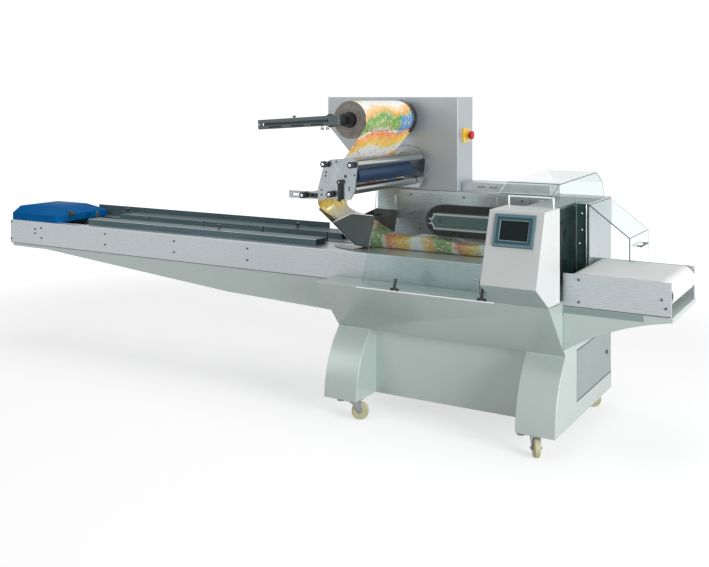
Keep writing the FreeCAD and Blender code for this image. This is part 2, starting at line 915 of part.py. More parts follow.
def former_bracket():
    """The block and two rods that hold the forming box off the backing plate, and the handle on top."""
    far = path_centre + former_half_width
    bar_x, bar_z = former_bar()
    y = (far, far + former_block_depth)
    block_x = (bar_x - former_block / 2, bar_x + former_block / 2)
    block = box(block_x, y, (bar_z - former_bar_inset, bar_z + former_bar_inset))
    rods = []
    rear = cabinet_front - backing_thickness
    for x in (bar_x - former_rod_offset, bar_x + former_rod_offset):
        rods.append(rod(former_rod_radius, (x, y[1], bar_z), (x, rear, bar_z)))
    low = bar_z + former_bar_inset
    middle = (y[0] + y[1]) / 2
    stem = rod(handle_radius / 2, (bar_x, middle, low), (bar_x, middle, low + handle_stem))
    grip_low = low + handle_stem
    grip = rod(handle_radius, (bar_x, middle, grip_low), (bar_x, middle, grip_low + handle_grip))
    return fuse(block, *rods, stem, grip)


def web(first, second, sides):
    """Lower face of a web between two rollers (x, z, radius). The sides, 1 or -1, say where it lies."""
    reach = [spec[2] + film_gap + film_thickness / 2 for spec in (first, second)]
    dx, dz = second[0] - first[0], second[1] - first[1]
    length = math.hypot(dx, dz)
    along = (dx / length, dz / length)
    across = (-along[1], along[0])
    lean = (sides[0] * reach[0] - sides[1] * reach[1]) / length
    normal = tuple(along[i] * lean + across[i] * math.sqrt(1 - lean * lean) for i in (0, 1))
    start = (first[0] + normal[0] * sides[0] * reach[0], first[1] + normal[1] * sides[0] * reach[0])
    end = (second[0] + normal[0] * sides[1] * reach[1], second[1] + normal[1] * sides[1] * reach[1])
    half = film_thickness / 2
    return [(u - normal[0] * half, v - normal[1] * half) for u, v in (start, end)]


def film_webs():
    """The web from roll to left roller, under it to the rubber roller, and from nip to guide roller."""
    y = (film_front, film_back)
    roll = (reel_x, reel_z, roll_radius)
    runs = (
        web(roll, left_roller, (1, -1)),
        web(left_roller, rubber_roller, (-1, -1)),
        web(guide_roller, nip_roller, (1, 1)),
    )
    return [along_y(sheet_between(run, film_thickness), y) for run in runs]


def film_to_former():
    """The web from the guide roller to the forming box, narrowing on the way."""
    x, z, radius = guide_roller
    start_x = x - radius - film_gap
    low_x, low_z = former_tip[0] + former_drop, former_tip[1] - former_drop_rise
    high = [(start_x, film_front, z), (start_x, film_back, z)]
    low = [(low_x, path_centre + half, low_z) for half in (former_half_width, -former_half_width)]
    corners = [FreeCAD.Vector(*point) for point in high + low]
    face = Part.Face(Part.makePolygon(corners + corners[:1]))
    length = math.hypot(z - low_z, start_x - low_x)
    step = FreeCAD.Vector(-(z - low_z) / length, 0, (start_x - low_x) / length)
    return face.extrude(step * film_thickness)


def film_web():
    """All the flat webs of film."""
    return group(*film_webs(), film_to_former())


def film_tube():
    """The formed tube of film round the product, from the forming box to the end seal."""
    y = (path_centre - tube_width / 2, path_centre + tube_width / 2)
    body = box((tube_left, tube_right), y, (floor_top(), floor_top() + tube_height))
    length = tube_right - tube_left
    long_edges = [edge for edge in body.Edges if abs(edge.BoundBox.XLength - length) < 1e-6]
    return body.makeFillet(tube_corner, long_edges)


def brush_axes():
    """X of the brush loop's two pulleys."""
    reach = brush_pulley + brush_belt + brush_length
    return brush_left + reach, brush_right - reach


def brush_ring(radius_in, radius_out, y):
    """A closed loop round the brush press's two pulleys."""
    outer = stadium(brush_axes(), brush_centre_z, radius_out, y)
    return outer.cut(stadium(brush_axes(), brush_centre_z, radius_in, y))


def brush_span():
    return path_centre - brush_width / 2, path_centre + brush_width / 2


def brush_loop():
    """The brush belt, one closed loop: its carrier with the bristles standing out all round."""
    near, far = brush_span()
    carrier = brush_ring(brush_pulley, brush_pulley + brush_belt, (near, far))
    out = brush_pulley + brush_belt
    bristles = brush_ring(out, out + brush_length, (near + brush_margin, far - brush_margin))
    return fuse(carrier, bristles)


def brush_frame():
    """The frame inside the loop: side plates, rails, pulleys, and the arms back to the plate."""
    first, last = brush_axes()
    near, far = brush_span()
    cheek_radius = brush_pulley - brush_margin
    pieces = [
        stadium((first, last), brush_centre_z, cheek_radius, (near - brush_frame_wall, near)),
        stadium((first, last), brush_centre_z, cheek_radius, (far, far + brush_frame_wall)),
        box((first, last), (near, far), (brush_centre_z - cheek_radius, brush_centre_z + cheek_radius)),
    ]
    pulley = brush_pulley - run_clearance
    for x in (first, last):
        pieces.append(rod(pulley, (x, near, brush_centre_z), (x, far, brush_centre_z)))
    for x in (first + brush_pulley, last - brush_pulley):
        start, end = far + brush_frame_wall, cabinet_front - backing_thickness
        pieces.append(rod(brush_arm_radius, (x, start, brush_centre_z), (x, end, brush_centre_z)))
    return fuse(*pieces)


def seal_station():
    """The end-seal station: two cheek plates, the cap over them, and the wing towards the outfeed."""
    x = (jaw_x - seal_half_length, jaw_x + seal_half_length)
    low, high = deck_height, cabinet_top - seal_cap
    y = (seal_plate_front, seal_housing_front)
    inner = (y[0] + seal_plate, y[1] - seal_plate)
    near = box(x, (y[0], inner[0]), (low, high))
    far = box(x, (inner[1], y[1]), (low, high))
    wing = box((x[1] - seal_plate, x[1]), (inner[0], inner[0] + seal_wing), (low, high))
    cap = box(x, y, (high, cabinet_top))
    return fuse(near, far, wing, cap)


def seal_jaws():
    """The upper and lower sealing jaws: bars on shafts between the cheek plates."""
    y = (seal_plate_front + seal_plate, seal_housing_front - seal_plate)
    jaws = []
    for z, facing in ((jaw_low_z, 1), (jaw_high_z, -1)):
        shaft = rod(jaw_shaft, (jaw_x, y[0], z), (jaw_x, y[1], z))
        reach = (z, z + facing * jaw_radius)
        bar_y = (y[0] + jaw_shaft, y[1] - jaw_shaft)
        bar = box((jaw_x - jaw_face, jaw_x + jaw_face), bar_y, (min(reach), max(reach)))
        jaws.append(fuse(shaft, bar))
    return group(*jaws)


def hinge_axis():
    """The front door's hinge axis, as (y, z)."""
    y = deck_front + hinge_pin_radius + hinge_clearance
    return y, deck_height + hinge_pin_radius + hinge_rise


def door_line():
    """Outline of the front door's outer face, from the hinge up."""
    y, z = hinge_axis()
    return (y, z + hinge_pin_radius + panel_gap), door_knee, door_head


def front_door():
    """The transparent front door, bent once above its middle."""
    return along_x(sheet_between(door_line(), -guard_thickness), (door_left, door_right))


def hinge_pieces(x, spots):
    """Hinge barrels between two shares of the hinge's width, one for each middle."""
    y, z = hinge_axis()
    for middle in spots:
        low = middle - hinge_width / 2
        span = (low + hinge_width * x[0], low + hinge_width * x[1])
        yield span, rod(hinge_pin_radius, (span[0], y, z), (span[1], y, z))


def door_leaves():
    """The hinge halves that move with the door: a middle barrel, and a leaf on the door's outer face."""
    y, z = hinge_axis()
    foot, knee, _ = door_line()
    length = math.hypot(knee[0] - foot[0], knee[1] - foot[1])
    share = hinge_leaf / length
    top = (foot[0] + (knee[0] - foot[0]) * share, foot[1] + (knee[1] - foot[1]) * share)
    profile = sheet_between(((y, z), foot, top), leaf_thickness)
    leaves = []
    for span, barrel in hinge_pieces(door_knuckle, door_hinge_x):
        leaves.append(fuse(barrel, along_x(profile, span)))
    return group(*leaves)


def hinge_bases():
    """The hinge halves on the deck's edge: a barrel at each side of the door's one, on a block."""
    y, z = hinge_axis()
    bases = []
    for share in deck_knuckles:
        for span, barrel in hinge_pieces(share, door_hinge_x):
            block = box(span, (y - hinge_pin_radius, y + hinge_pin_radius), (deck_height, z))
            bases.append(fuse(barrel, block))
    return group(*bases)


def hood():
    """The transparent hood over the end-seal station, one bent sheet that stands on the cabinet."""
    line = (hood_lip, hood_brow, hood_ridge, hood_shoulder, (hood_foot_y, cabinet_top))
    x = (column_left + panel_gap, base_right - panel_gap)
    sheet = along_x(sheet_between(line, -guard_thickness), x)
    return sheet.cut(box(x, (hood_shoulder[0], back_face), (deck_height, cabinet_top)))


def outfeed_guard():
    """The transparent guard beside the outfeed: a sloping sheet and its upright front."""
    top = cabinet_top - outfeed_guard_drop
    fall = (top - outfeed_guard_knee_z) / (outfeed_guard_knee_x - base_right)
    back = base_right - guard_thickness * 4
    line = (
        (back, top + fall * guard_thickness * 4),
        (outfeed_guard_knee_x, outfeed_guard_knee_z),
        (outfeed_guard_knee_x, outfeed_guard_foot),
    )
    y = (seal_housing_front, back_face - outfeed_guard_inset)
    sheet = along_y(sheet_between(line, -guard_thickness), y)
    return sheet.cut(box((back - guard_thickness * 2, base_right), y, (outfeed_guard_foot, total_height)))


def wire_rail():
    """The bright bail that stands on the column's top, behind the screen."""
    x = (column_left + bail_inset, base_right - bail_inset)
    y = column_back - bail_inset
    top = column_top + bail_height
    legs = [rod(bail_radius, (side, y, column_top), (side, y, top)) for side in x]
    bar = rod(bail_radius, (x[0] - bail_radius, y, top), (x[1] + bail_radius, y, top))
    return fuse(*legs, bar)


def stop_face():
    """X of the emergency stop plate's outer face."""
    return tower_right + stop_plate_depth


def stop_base():
    """The emergency stop's plate and bored collar on the tower's outfeed side."""
    half = stop_plate / 2
    face = stop_face()
    end = face + stop_collar_length
    plate = box((tower_right, face), (stop_y - half, stop_y + half), (stop_z - half, stop_z + half))
    collar = rod(stop_collar_radius, (face, stop_y, stop_z), (end, stop_y, stop_z))
    bore = rod(stop_stem_radius + run_clearance, (face, stop_y, stop_z), (end, stop_y, stop_z))
    return fuse(plate, collar).cut(bore)


def stop_button():
    """The mushroom head on its stem, clear of the collar by more than its travel."""
    face = stop_face()
    start = face + stop_travel + stop_clearance
    head = start + stop_collar_length
    stem = rod(stop_stem_radius, (start, stop_y, stop_z), (head, stop_y, stop_z))
    end = head + stop_head_length
    return fuse(stem, rod(stop_head_radius, (head, stop_y, stop_z), (end, stop_y, stop_z)))


def turned(shape, x, y, angle):
    """A shape turned about an upright line."""
    shape.rotate(FreeCAD.Vector(x, y, 0), FreeCAD.Vector(0, 0, 1), angle)
    return shape


def caster_plate(x, y):
    """A caster's top plate under the pedestal, with the kingpin that its fork turns on."""
    half = caster_plate_side / 2
    under = base_bottom - caster_plate_thickness
    plate = box((x - half, x + half), (y - half, y + half), (under, base_bottom))
    pin_end = under - run_clearance - fork_thickness
    return fuse(plate, rod(kingpin_radius, (x, y, pin_end), (x, y, under)))


def caster_fork(x, y, angle):
    """The swivel fork: a crown round the kingpin and two cheeks that carry the axle behind it."""
    crown_top = base_bottom - caster_plate_thickness - run_clearance
    crown_low = crown_top - fork_thickness
    inner = wheel_width / 2 + fork_gap
    outer = inner + fork_wall
    nose = x - kingpin_radius * 3
    axle_x = x + caster_trail
    crown = box((nose, axle_x), (y - outer, y + outer), (crown_low, crown_top))
    crown = crown.cut(rod(kingpin_radius + run_clearance, (x, y, crown_low), (x, y, crown_top)))
    cheek = (
        (nose, crown_top),
        (axle_x, crown_top),
        (axle_x + fork_eye, wheel_radius),
        (axle_x, wheel_radius - fork_eye),
        (axle_x - fork_eye, wheel_radius),
    )
    cheeks = [along_y(cheek, (y + near, y + near + fork_wall)) for near in (-outer, inner)]
    ends = [(axle_x, y + side, wheel_radius) for side in (-outer, outer)]
    axle = rod(wheel_bore - run_clearance, *ends)
    return turned(fuse(crown, *cheeks, axle), x, y, angle)


def caster_wheel(x, y, angle):
    """The wheel, with a bevelled tread and a bore for the axle."""
    centre = x + caster_trail
    half = wheel_width / 2
    wheel = rod(wheel_radius, (centre, y - half, wheel_radius), (centre, y + half, wheel_radius))
    rims = [edge for edge in wheel.Edges if abs(edge.Length - 2 * math.pi * wheel_radius) < 1e-3]
    wheel = wheel.makeChamfer(wheel_bevel, rims)
    wheel = wheel.cut(rod(wheel_bore, (centre, y - half, wheel_radius), (centre, y + half, wheel_radius)))
    return turned(wheel, x, y, angle)


def levelling_foot(x, y):
    """A levelling screw beside a caster, wound up clear of the floor."""
    stem = rod(foot_stem_radius, (x, y, base_bottom - foot_drop), (x, y, base_bottom))
    pad = rod(foot_radius, (x, y, base_bottom - foot_drop - foot_pad), (x, y, base_bottom - foot_drop))
    return fuse(stem, pad)


def build():
    """Every node by name."""
    nodes = {
        "pedestal": pedestal(),
        "pedestal_hatch": end_hatch(),
        "legs": group(leg((base_left, base_left + leg_width)), leg((base_right - leg_width, base_right))),
        "lower_housing": lower_housing(),
        "control_column": control_column(),
        "screen_bezel": screen_bezel(),
        "screen_glass": screen_glass(),
        "column_bail": wire_rail(),
        "conveyor_sides": conveyor_sides(),
        "infeed_bed": infeed_bed(),
        "infeed_chain": chain_links(),
        "channel_floor": channel_floor(),
        "side_tables": side_tables(),
        "infeed_end_cover": end_cover(),
        "infeed_bracket": infeed_bracket(),
        "outfeed_sides": group(
            outfeed_side((conveyor_front, conveyor_front + side_thickness)),
            outfeed_side((conveyor_back - side_thickness, conveyor_back)),
        ),
        "outfeed_belt": outfeed_belt(),
        "outfeed_rollers": outfeed_rollers(),
        "outfeed_bracket": outfeed_bracket(),
        "rear_cabinet": rear_cabinet(),
        "reel_tower": reel_tower(),
        "backing_plate": backing_plate(),
        "reel_shaft": fuse(reel_shaft(), clamp_ring()),
        "reel_arm": reel_arm(),
        "film_roll": film_roll(),
        "reel_hub": reel_chucks(),
        "feed_plates": feed_plates(),
        "feed_bars": feed_bars(),
        "feed_knobs": feed_knobs(),
        "left_roller": plate_roller(left_roller),
        "right_roller": plate_roller(right_roller),
        "rubber_roller": roller(rubber_roller, (rubber_front, rubber_back), plate_journal()),
        "nip_roller": plate_roller(nip_roller),
        "guide_roller": outer_roller(),
        "nip_lever": nip_lever(),
        "film_former": film_former(),
        "former_bracket": former_bracket(),
        "film_web": film_web(),
        "film_tube": film_tube(),
        "brush_belt": brush_loop(),
        "brush_frame": brush_frame(),
        "seal_station": seal_station(),
        "seal_jaws": seal_jaws(),
        "front_door": front_door(),
        "door_leaves": door_leaves(),
        "door_hinges": hinge_bases(),
        "hood": hood(),
        "outfeed_guard": outfeed_guard(),
        "stop_base": stop_base(),
        "stop_button": stop_button(),
        "caster_plates": group(*[caster_plate(x, y) for x, y, _ in casters_at.values()]),
        "levelling_feet": group(*[levelling_foot(x, y) for x in feet_x for y in feet_y]),
    }
    for place, spot in casters_at.items():
        nodes["caster_fork_" + place] = caster_fork(*spot)
        nodes["caster_wheel_" + place] = caster_wheel(*spot)
    return nodes


def save(nodes):
    """Writes one STEP file for each node."""
    os.makedirs("parts", exist_ok=True)
    for name, shape in nodes.items():
        if not shape.isValid():
            print("not valid:", name)
        shape.exportStep(os.path.join("parts", name + ".step"))
    print(len(nodes), "nodes")


save(build())
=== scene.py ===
# %% [markdown]
# # Dressing a film wrapping machine
#
# The real machine folds a web of printed film into a tube round products that ride past on a chain. The
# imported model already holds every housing, roller and guard at its real size, so this lesson adds only what
# a camera sees: brushed and painted sheet, rounded edges, screws, film that bends round its rollers,
# bristles and acrylic.

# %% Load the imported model
import json
import random
from math import asin, atan2, ceil, copysign, cos, hypot, pi, radians, sin, tan

import bmesh
import bpy
from mathutils import Matrix, Vector, noise

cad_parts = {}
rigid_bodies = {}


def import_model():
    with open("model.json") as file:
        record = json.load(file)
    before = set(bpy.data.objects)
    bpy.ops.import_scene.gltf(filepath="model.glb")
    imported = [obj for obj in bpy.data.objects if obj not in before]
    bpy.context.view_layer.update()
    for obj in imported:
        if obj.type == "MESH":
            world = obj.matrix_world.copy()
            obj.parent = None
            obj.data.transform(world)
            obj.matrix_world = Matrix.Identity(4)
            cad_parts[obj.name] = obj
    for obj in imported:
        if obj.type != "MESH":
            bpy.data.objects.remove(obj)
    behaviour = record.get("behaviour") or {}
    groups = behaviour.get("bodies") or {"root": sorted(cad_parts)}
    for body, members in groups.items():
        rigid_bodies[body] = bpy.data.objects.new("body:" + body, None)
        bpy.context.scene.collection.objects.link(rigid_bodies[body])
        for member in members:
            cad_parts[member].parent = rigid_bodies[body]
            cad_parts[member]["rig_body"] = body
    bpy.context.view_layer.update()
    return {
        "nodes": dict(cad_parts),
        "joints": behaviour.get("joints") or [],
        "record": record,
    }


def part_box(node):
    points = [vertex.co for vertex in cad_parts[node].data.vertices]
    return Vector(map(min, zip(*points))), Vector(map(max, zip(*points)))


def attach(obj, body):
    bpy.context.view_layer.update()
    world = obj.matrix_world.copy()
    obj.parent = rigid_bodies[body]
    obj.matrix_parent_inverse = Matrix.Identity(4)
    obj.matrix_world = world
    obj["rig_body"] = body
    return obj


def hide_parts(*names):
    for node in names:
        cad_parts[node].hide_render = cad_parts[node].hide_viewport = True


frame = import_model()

nodes = frame["nodes"]
scene = bpy.context.scene
slot_of = {part["node"]: part["material_slot"] for part in frame["record"]["subparts"]}

# %% [markdown]
# ## The camera
#
# The machine is seen from its outfeed end, at the height of the reel tower's top. A level camera keeps
# uprights upright, so the lens is shifted down instead of tilted. A tilt would make the housings lean.

# %% Place the camera
def new_object(name, data):
    """An object in the scene, made from its data."""
    item = bpy.data.objects.new(name, data)
    scene.collection.objects.link(item)
    return item


camera = new_object("portrait_camera", bpy.data.cameras.new("portrait_camera"))
camera.location = (3.124, -4.6135, 1.700)
camera.rotation_euler = (radians(90), 0, radians(30.6))
camera.data.sensor_width = 36
camera.data.lens = 48.19
camera.data.shift_y = -0.263
camera.data.clip_end = 200
scene.camera = camera
print("camera height", round(camera.location.z, 3))

# %% [markdown]
# ## Light and backdrop
#
# A big soft lamp at the outfeed side makes the end faces the brightest ones, and a weak one fills the long
# front. The world is white for the camera and for reflections, and dimmer as a light, so white paint
# doesn't burn out. The floor is a plain pale surface that shows the shadow near the machine and fades into
# the white. All of these are small node trees, so a few helpers come first that add one node each.

# %% A small kit for shader trees
def feed(tree, value, socket):
    """Links a socket to another, or sets its plain value. A colour gets an alpha of 1."""
    if isinstance(value, bpy.types.NodeSocket):
        tree.links.new(value, socket)
    elif socket.type == "RGBA":
        socket.default_value = (*value, 1)
    else:
        socket.default_value = value


def add_node(tree, kind, **values):
    """A new shader node, with its inputs set by name."""
    node = tree.nodes.new("ShaderNode" + kind)
    for label, value in values.items():
        feed(tree, value, node.inputs[label.replace("_", " ")])
    return node


def calc(tree, operation, *values, clamp=False):
    """A Math node's result."""
    node = add_node(tree, "Math")
    node.operation = operation
    node.use_clamp = clamp
    for value, socket in zip(values, node.inputs):
        feed(tree, value, socket)
    return node.outputs[0]


def plus(tree, first, second):
    """Two values added."""
    return calc(tree, "ADD", first, second)


def times(tree, first, second):
    """Two values multiplied."""
    return calc(tree, "MULTIPLY", first, second)


def vector_calc(tree, operation, *values):
    """A Vector Math node's result, a number for a length."""
    node = add_node(tree, "VectorMath")
    node.operation = operation
    for value, socket in zip(values, node.inputs):
        feed(tree, value, socket)
    return node.outputs["Value" if operation == "LENGTH" else "Vector"]


def axes_of(tree, vector):
    """The X, Y and Z of a vector."""
    return add_node(tree, "SeparateXYZ", Vector=vector).outputs


print("shader helpers: feed, add_node, calc, plus, times, vector_calc, axes_of")


# %% Blends, noise, rays and a new material
def blend_colour(tree, factor, first, second):
    """Two colours mixed by a factor."""
    node = add_node(tree, "Mix")
    node.data_type = "RGBA"
    for value, index in ((factor, 0), (first, 6), (second, 7)):
        feed(tree, value, node.inputs[index])
    return node.outputs[2]


def spread(tree, value, low, high, to_low=0.0, to_high=1.0, smooth=False):
    """A Map Range node's result, clamped."""
    node = add_node(tree, "MapRange")
    node.interpolation_type = "SMOOTHSTEP" if smooth else "LINEAR"
    for item, index in ((value, 0), (low, 1), (high, 2), (to_low, 3), (to_high, 4)):
        feed(tree, item, node.inputs[index])
    return node.outputs[0]


def noise_at(tree, vector, scale, detail=3.0, roughness=0.55):
    """A noise value at each point."""
    node = add_node(tree, "TexNoise", Vector=vector, Scale=scale, Detail=detail, Roughness=roughness)
    return node.outputs[0]


def object_place(tree):
    """Each point's place on its object, in metres."""
    return add_node(tree, "TexCoord").outputs["Object"]


def seen_ray(tree):
    """1 for camera, glossy and transmission rays: what shows the backdrop."""
    path = add_node(tree, "LightPath")
    rays = calc(tree, "MAXIMUM", path.outputs["Is Camera Ray"], path.outputs["Is Glossy Ray"])
    return calc(tree, "MAXIMUM", rays, path.outputs["Is Transmission Ray"])


def start_material(name, **plain):
    """A node material, with its plain values set on the shader's own sockets."""
    material = bpy.data.materials.new(name)
    material.use_nodes = True
    tree = material.node_tree
    shader = tree.nodes["Principled BSDF"]
    for label, value in {"Coat_Roughness": 0.12, **plain}.items():
        feed(tree, value, shader.inputs[label.replace("_", " ")])
    return material, tree, shader


print("shader helpers: blend_colour, spread, noise_at, object_place, seen_ray, start_material")

# %% World, lamps and floor
white = (1, 1, 1)
world_light = 0.27
world = bpy.data.worlds.new("studio")
scene.world = world
world.use_nodes = True
tree = world.node_tree
background = tree.nodes["Background"]
feed(tree, white, background.inputs["Color"])
feed(tree, spread(tree, seen_ray(tree), 0, 1, world_light, 1), background.inputs["Strength"])


def lamp(name, place, target, size, watts):
    """A soft square lamp that faces a point."""
    light = new_object(name, bpy.data.lights.new(name, "AREA"))
    light.data.size = size
    light.data.energy = watts
    light.location = place
    light.rotation_euler = (Vector(target) - Vector(place)).to_track_quat("-Z", "Y").to_euler()


lamp("key_lamp", place=(7.4, -2.4, 1.9), target=(0.6, 0.0, 0.7), size=3.0, watts=400)
lamp("infeed_lamp", place=(-4.5, -5.5, 3.4), target=(-1.4, 0.0, 0.7), size=3.0, watts=70)
lamp("top_lamp", place=(0.3, 0.2, 6.5), target=(0.3, 0.0, 0.8), size=5.0, watts=110)

floor_reach = 60.0
floor_grey = (0.52, 0.52, 0.52)
shadow_reach, white_from = 2.6, 6.0
corners = [(x * floor_reach, y * floor_reach, 0) for x, y in ((-1, -1), (1, -1), (1, 1), (-1, 1))]
floor_mesh = bpy.data.meshes.new("floor")
floor_mesh.from_pydata(corners, [], [(0, 1, 2, 3)])
new_object("floor", floor_mesh)
floor_paint, tree, shader = start_material(
    "studio_floor", Base_Color=floor_grey, Roughness=0.9, Specular_IOR_Level=0.0, Emission_Color=white)
distance = vector_calc(tree, "LENGTH", object_place(tree))
far = spread(tree, distance, shadow_reach, white_from, 0.62, 1.0, smooth=True)
feed(tree, times(tree, far, seen_ray(tree)), shader.inputs["Emission Strength"])
floor_mesh.materials.append(floor_paint)
scene.view_settings.view_transform = "Standard"

# %% [markdown]
# ## Shader groups
#
# Sheet metal is never one flat colour: rolling and brushing leave a fine grain along the sheet, and
# handling leaves clouds of slightly duller surface. One group makes that grain for every sheet, stretched
# along the way the sheet was brushed. A second group lays dust on whatever faces up. Both put out only
# colours and values, and each material keeps its own shader.

# %% Build the groups
def shader_group(name, inputs, outputs):
    """An empty group with named sockets, and its input and output nodes."""
    group = bpy.data.node_groups.new(name, "ShaderNodeTree")
    for label, kind, value in inputs:
        socket = group.interface.new_socket(name=label, in_out="INPUT", socket_type="NodeSocket" + kind)
        socket.default_value = value
    for label, kind in outputs:
        group.interface.new_socket(name=label, in_out="OUTPUT", socket_type="NodeSocket" + kind)
    return group, group.nodes.new("NodeGroupInput").outputs, group.nodes.new("NodeGroupOutput").inputs


sheet_grain, given, out = shader_group(
    "sheet_grain",
    (("Light Tone", "Color", (0.6, 0.6, 0.6, 1)), ("Dark Tone", "Color", (0.5, 0.5, 0.5, 1)),
     ("Stretch", "Vector", (1, 1, 1)), ("Grain Scale", "Float", 200.0), ("Cloud Scale", "Float", 1.6)),
    (("Colour", "Color"), ("Grain", "Float")),
)
tree = sheet_grain
coords = object_place(tree)
grain = noise_at(tree, vector_calc(tree, "MULTIPLY", coords, given["Stretch"]), given["Grain Scale"])
cloud = noise_at(tree, coords, given["Cloud Scale"], 4.0)
tone = spread(tree, plus(tree, times(tree, grain, 0.55), times(tree, cloud, 0.45)), 0.32, 0.68)
feed(tree, blend_colour(tree, tone, given["Dark Tone"], given["Light Tone"]), out["Colour"])
feed(tree, grain, out["Grain"])

settled_dust, given, out = shader_group(
    "settled_dust",
    (("Colour", "Color", (0.5, 0.5, 0.5, 1)), ("Dust Colour", "Color", (0.55, 0.55, 0.52, 1)),
     ("Amount", "Float", 0.2)),
    (("Colour", "Color"), ("Mask", "Float")),
)
tree = settled_dust
facing_up = axes_of(tree, add_node(tree, "NewGeometry").outputs["Normal"])[2]
patches = spread(tree, noise_at(tree, object_place(tree), 9.0, 5.0), 0.42, 0.7)
resting = times(tree, spread(tree, facing_up, 0.2, 1.0), patches)
mask = calc(tree, "MULTIPLY", resting, given["Amount"], clamp=True)
feed(tree, blend_colour(tree, mask, given["Colour"], given["Dust Colour"]), out["Colour"])
feed(tree, mask, out["Mask"])
print("groups", [group.name for group in bpy.data.node_groups])

# %% [markdown]
# ## The film's print
#
# Wrapping film carries a repeat along its length. The design here is a plain one: slanting soft bands of
# green, orange, yellow and white with short strokes and scattered discs. It is laid out in metres along and
# across the film, which every film piece stores as its UV, so the repeat runs on from the roll over the
# rollers to the tube.

# %% Ramp and inks
def ramp(tree, factor, stops, steps="LINEAR"):
    """A colour ramp from (position, colour) stops."""
    node = add_node(tree, "ValToRGB", Fac=factor)
    node.color_ramp.interpolation = steps
    elements = node.color_ramp.elements
    elements[0].position, elements[1].position = stops[0][0], stops[-1][0]
    for place, colour in stops[1:-1]:
        elements.new(place)
    for element, (place, colour) in zip(elements, stops):
        element.color = (*colour, 1)
    return node.outputs[0]


band_colours = (
    (0.00, (0.10, 0.33, 0.03)), (0.20, (0.27, 0.48, 0.05)), (0.25, (0.88, 0.90, 0.80)),
    (0.31, (0.86, 0.17, 0.02)), (0.40, (0.93, 0.38, 0.02)), (0.52, (0.95, 0.58, 0.03)),
    (0.60, (0.93, 0.74, 0.20)), (0.66, (0.93, 0.92, 0.88)), (0.79, (0.92, 0.92, 0.90)),
    (0.86, (0.93, 0.60, 0.16)), (0.94, (0.88, 0.36, 0.04)), (0.98, (0.40, 0.50, 0.08)),
)
disc_colours = ((0.0, (0.90, 0.30, 0.04)), (0.45, (0.94, 0.70, 0.08)), (0.75, (0.14, 0.20, 0.46)))
blue_band, pale_ink, deep_ink = (0.08, 0.33, 0.72), (0.94, 0.93, 0.88), (0.50, 0.10, 0.02)
print("print bands", len(band_colours), "disc colours", len(disc_colours))

# %% The print group
film_print, given, out = shader_group(
    "film_print",
    (("Place", "Vector", (0, 0, 0)), ("Repeat", "Float", 0.34), ("Shift", "Float", 0.0)),
    (("Colour", "Color"),),
)
tree = film_print
waves, wave_reach = 11.0, 0.03
cloud_scale, cloud_reach = 14.0, 0.09
slant = 0.16
along, across = axes_of(tree, given["Place"])[:2]
sway = times(tree, calc(tree, "SINE", times(tree, across, waves)), wave_reach)
drift = times(tree, noise_at(tree, given["Place"], cloud_scale), cloud_reach)
length = plus(tree, plus(tree, along, times(tree, across, slant)), plus(tree, sway, drift))
in_repeat = calc(tree, "FRACT", calc(tree, "DIVIDE", plus(tree, length, given["Shift"]), given["Repeat"]))
bands = ramp(tree, in_repeat, band_colours)
sky = times(tree, spread(tree, across, 0.38, 0.43), spread(tree, in_repeat, 0.34, 0.30))
colour = blend_colour(tree, sky, bands, blue_band)

turned = add_node(tree, "Mapping", Vector=given["Place"], Rotation=(0, 0, 0.9), Scale=(1.0, 5.0, 1.0))
strokes = noise_at(tree, turned.outputs[0], 34.0, 2.0)
colour = blend_colour(tree, spread(tree, strokes, 0.585, 0.615), colour, pale_ink)
in_warm_bands = times(tree, spread(tree, in_repeat, 0.66, 0.62), 0.75)
deep_strokes = times(tree, spread(tree, strokes, 0.385, 0.36), in_warm_bands)
colour = blend_colour(tree, deep_strokes, colour, deep_ink)

discs_per_metre, disc_inside, disc_outside = 30.0, 0.22, 0.25
discs = add_node(tree, "TexVoronoi", Vector=given["Place"], Scale=discs_per_metre)
on_disc = spread(tree, discs.outputs["Distance"], disc_inside, disc_outside, 1.0, 0.0)
picked = add_node(tree, "SeparateColor", Color=discs.outputs["Color"]).outputs
disc_hue = ramp(tree, picked[0], disc_colours, "CONSTANT")
shown = times(tree, on_disc, spread(tree, picked[1], 0.62, 0.66))
feed(tree, blend_colour(tree, shown, colour, disc_hue), out["Colour"])
print("print nodes", len(tree.nodes))

# %% [markdown]
# ## Finishes
#
# Each finish in the record becomes one material. Metals differ by their grain and by how sharply they
# mirror, so a satin sheet, a ground plate and a polished roller use the same group with other numbers.
# Paint gets the same group with an even grain, which reads as orange peel. A few pieces get a finish of their
# own: the hatch a darker one, which is painted shade, and the column one that paints its sloping underside
# a darker green, as painted shade where it faces down.

# %% Metal, paint and plastic
finishes = {}


def put(tree, group, **values):
    """A group placed in a material, with its inputs set by name."""
    node = tree.nodes.new("ShaderNodeGroup")
    node.node_tree = group
    for label, value in values.items():
        feed(tree, value, node.inputs[label.replace("_", " ")])
    return node.outputs


def bumped(tree, shader, height, strength, distance):
    """A bump on the shader's normal."""
    bump = add_node(tree, "Bump", Strength=strength, Distance=distance, Height=height)
    feed(tree, bump.outputs[0], shader.inputs["Normal"])


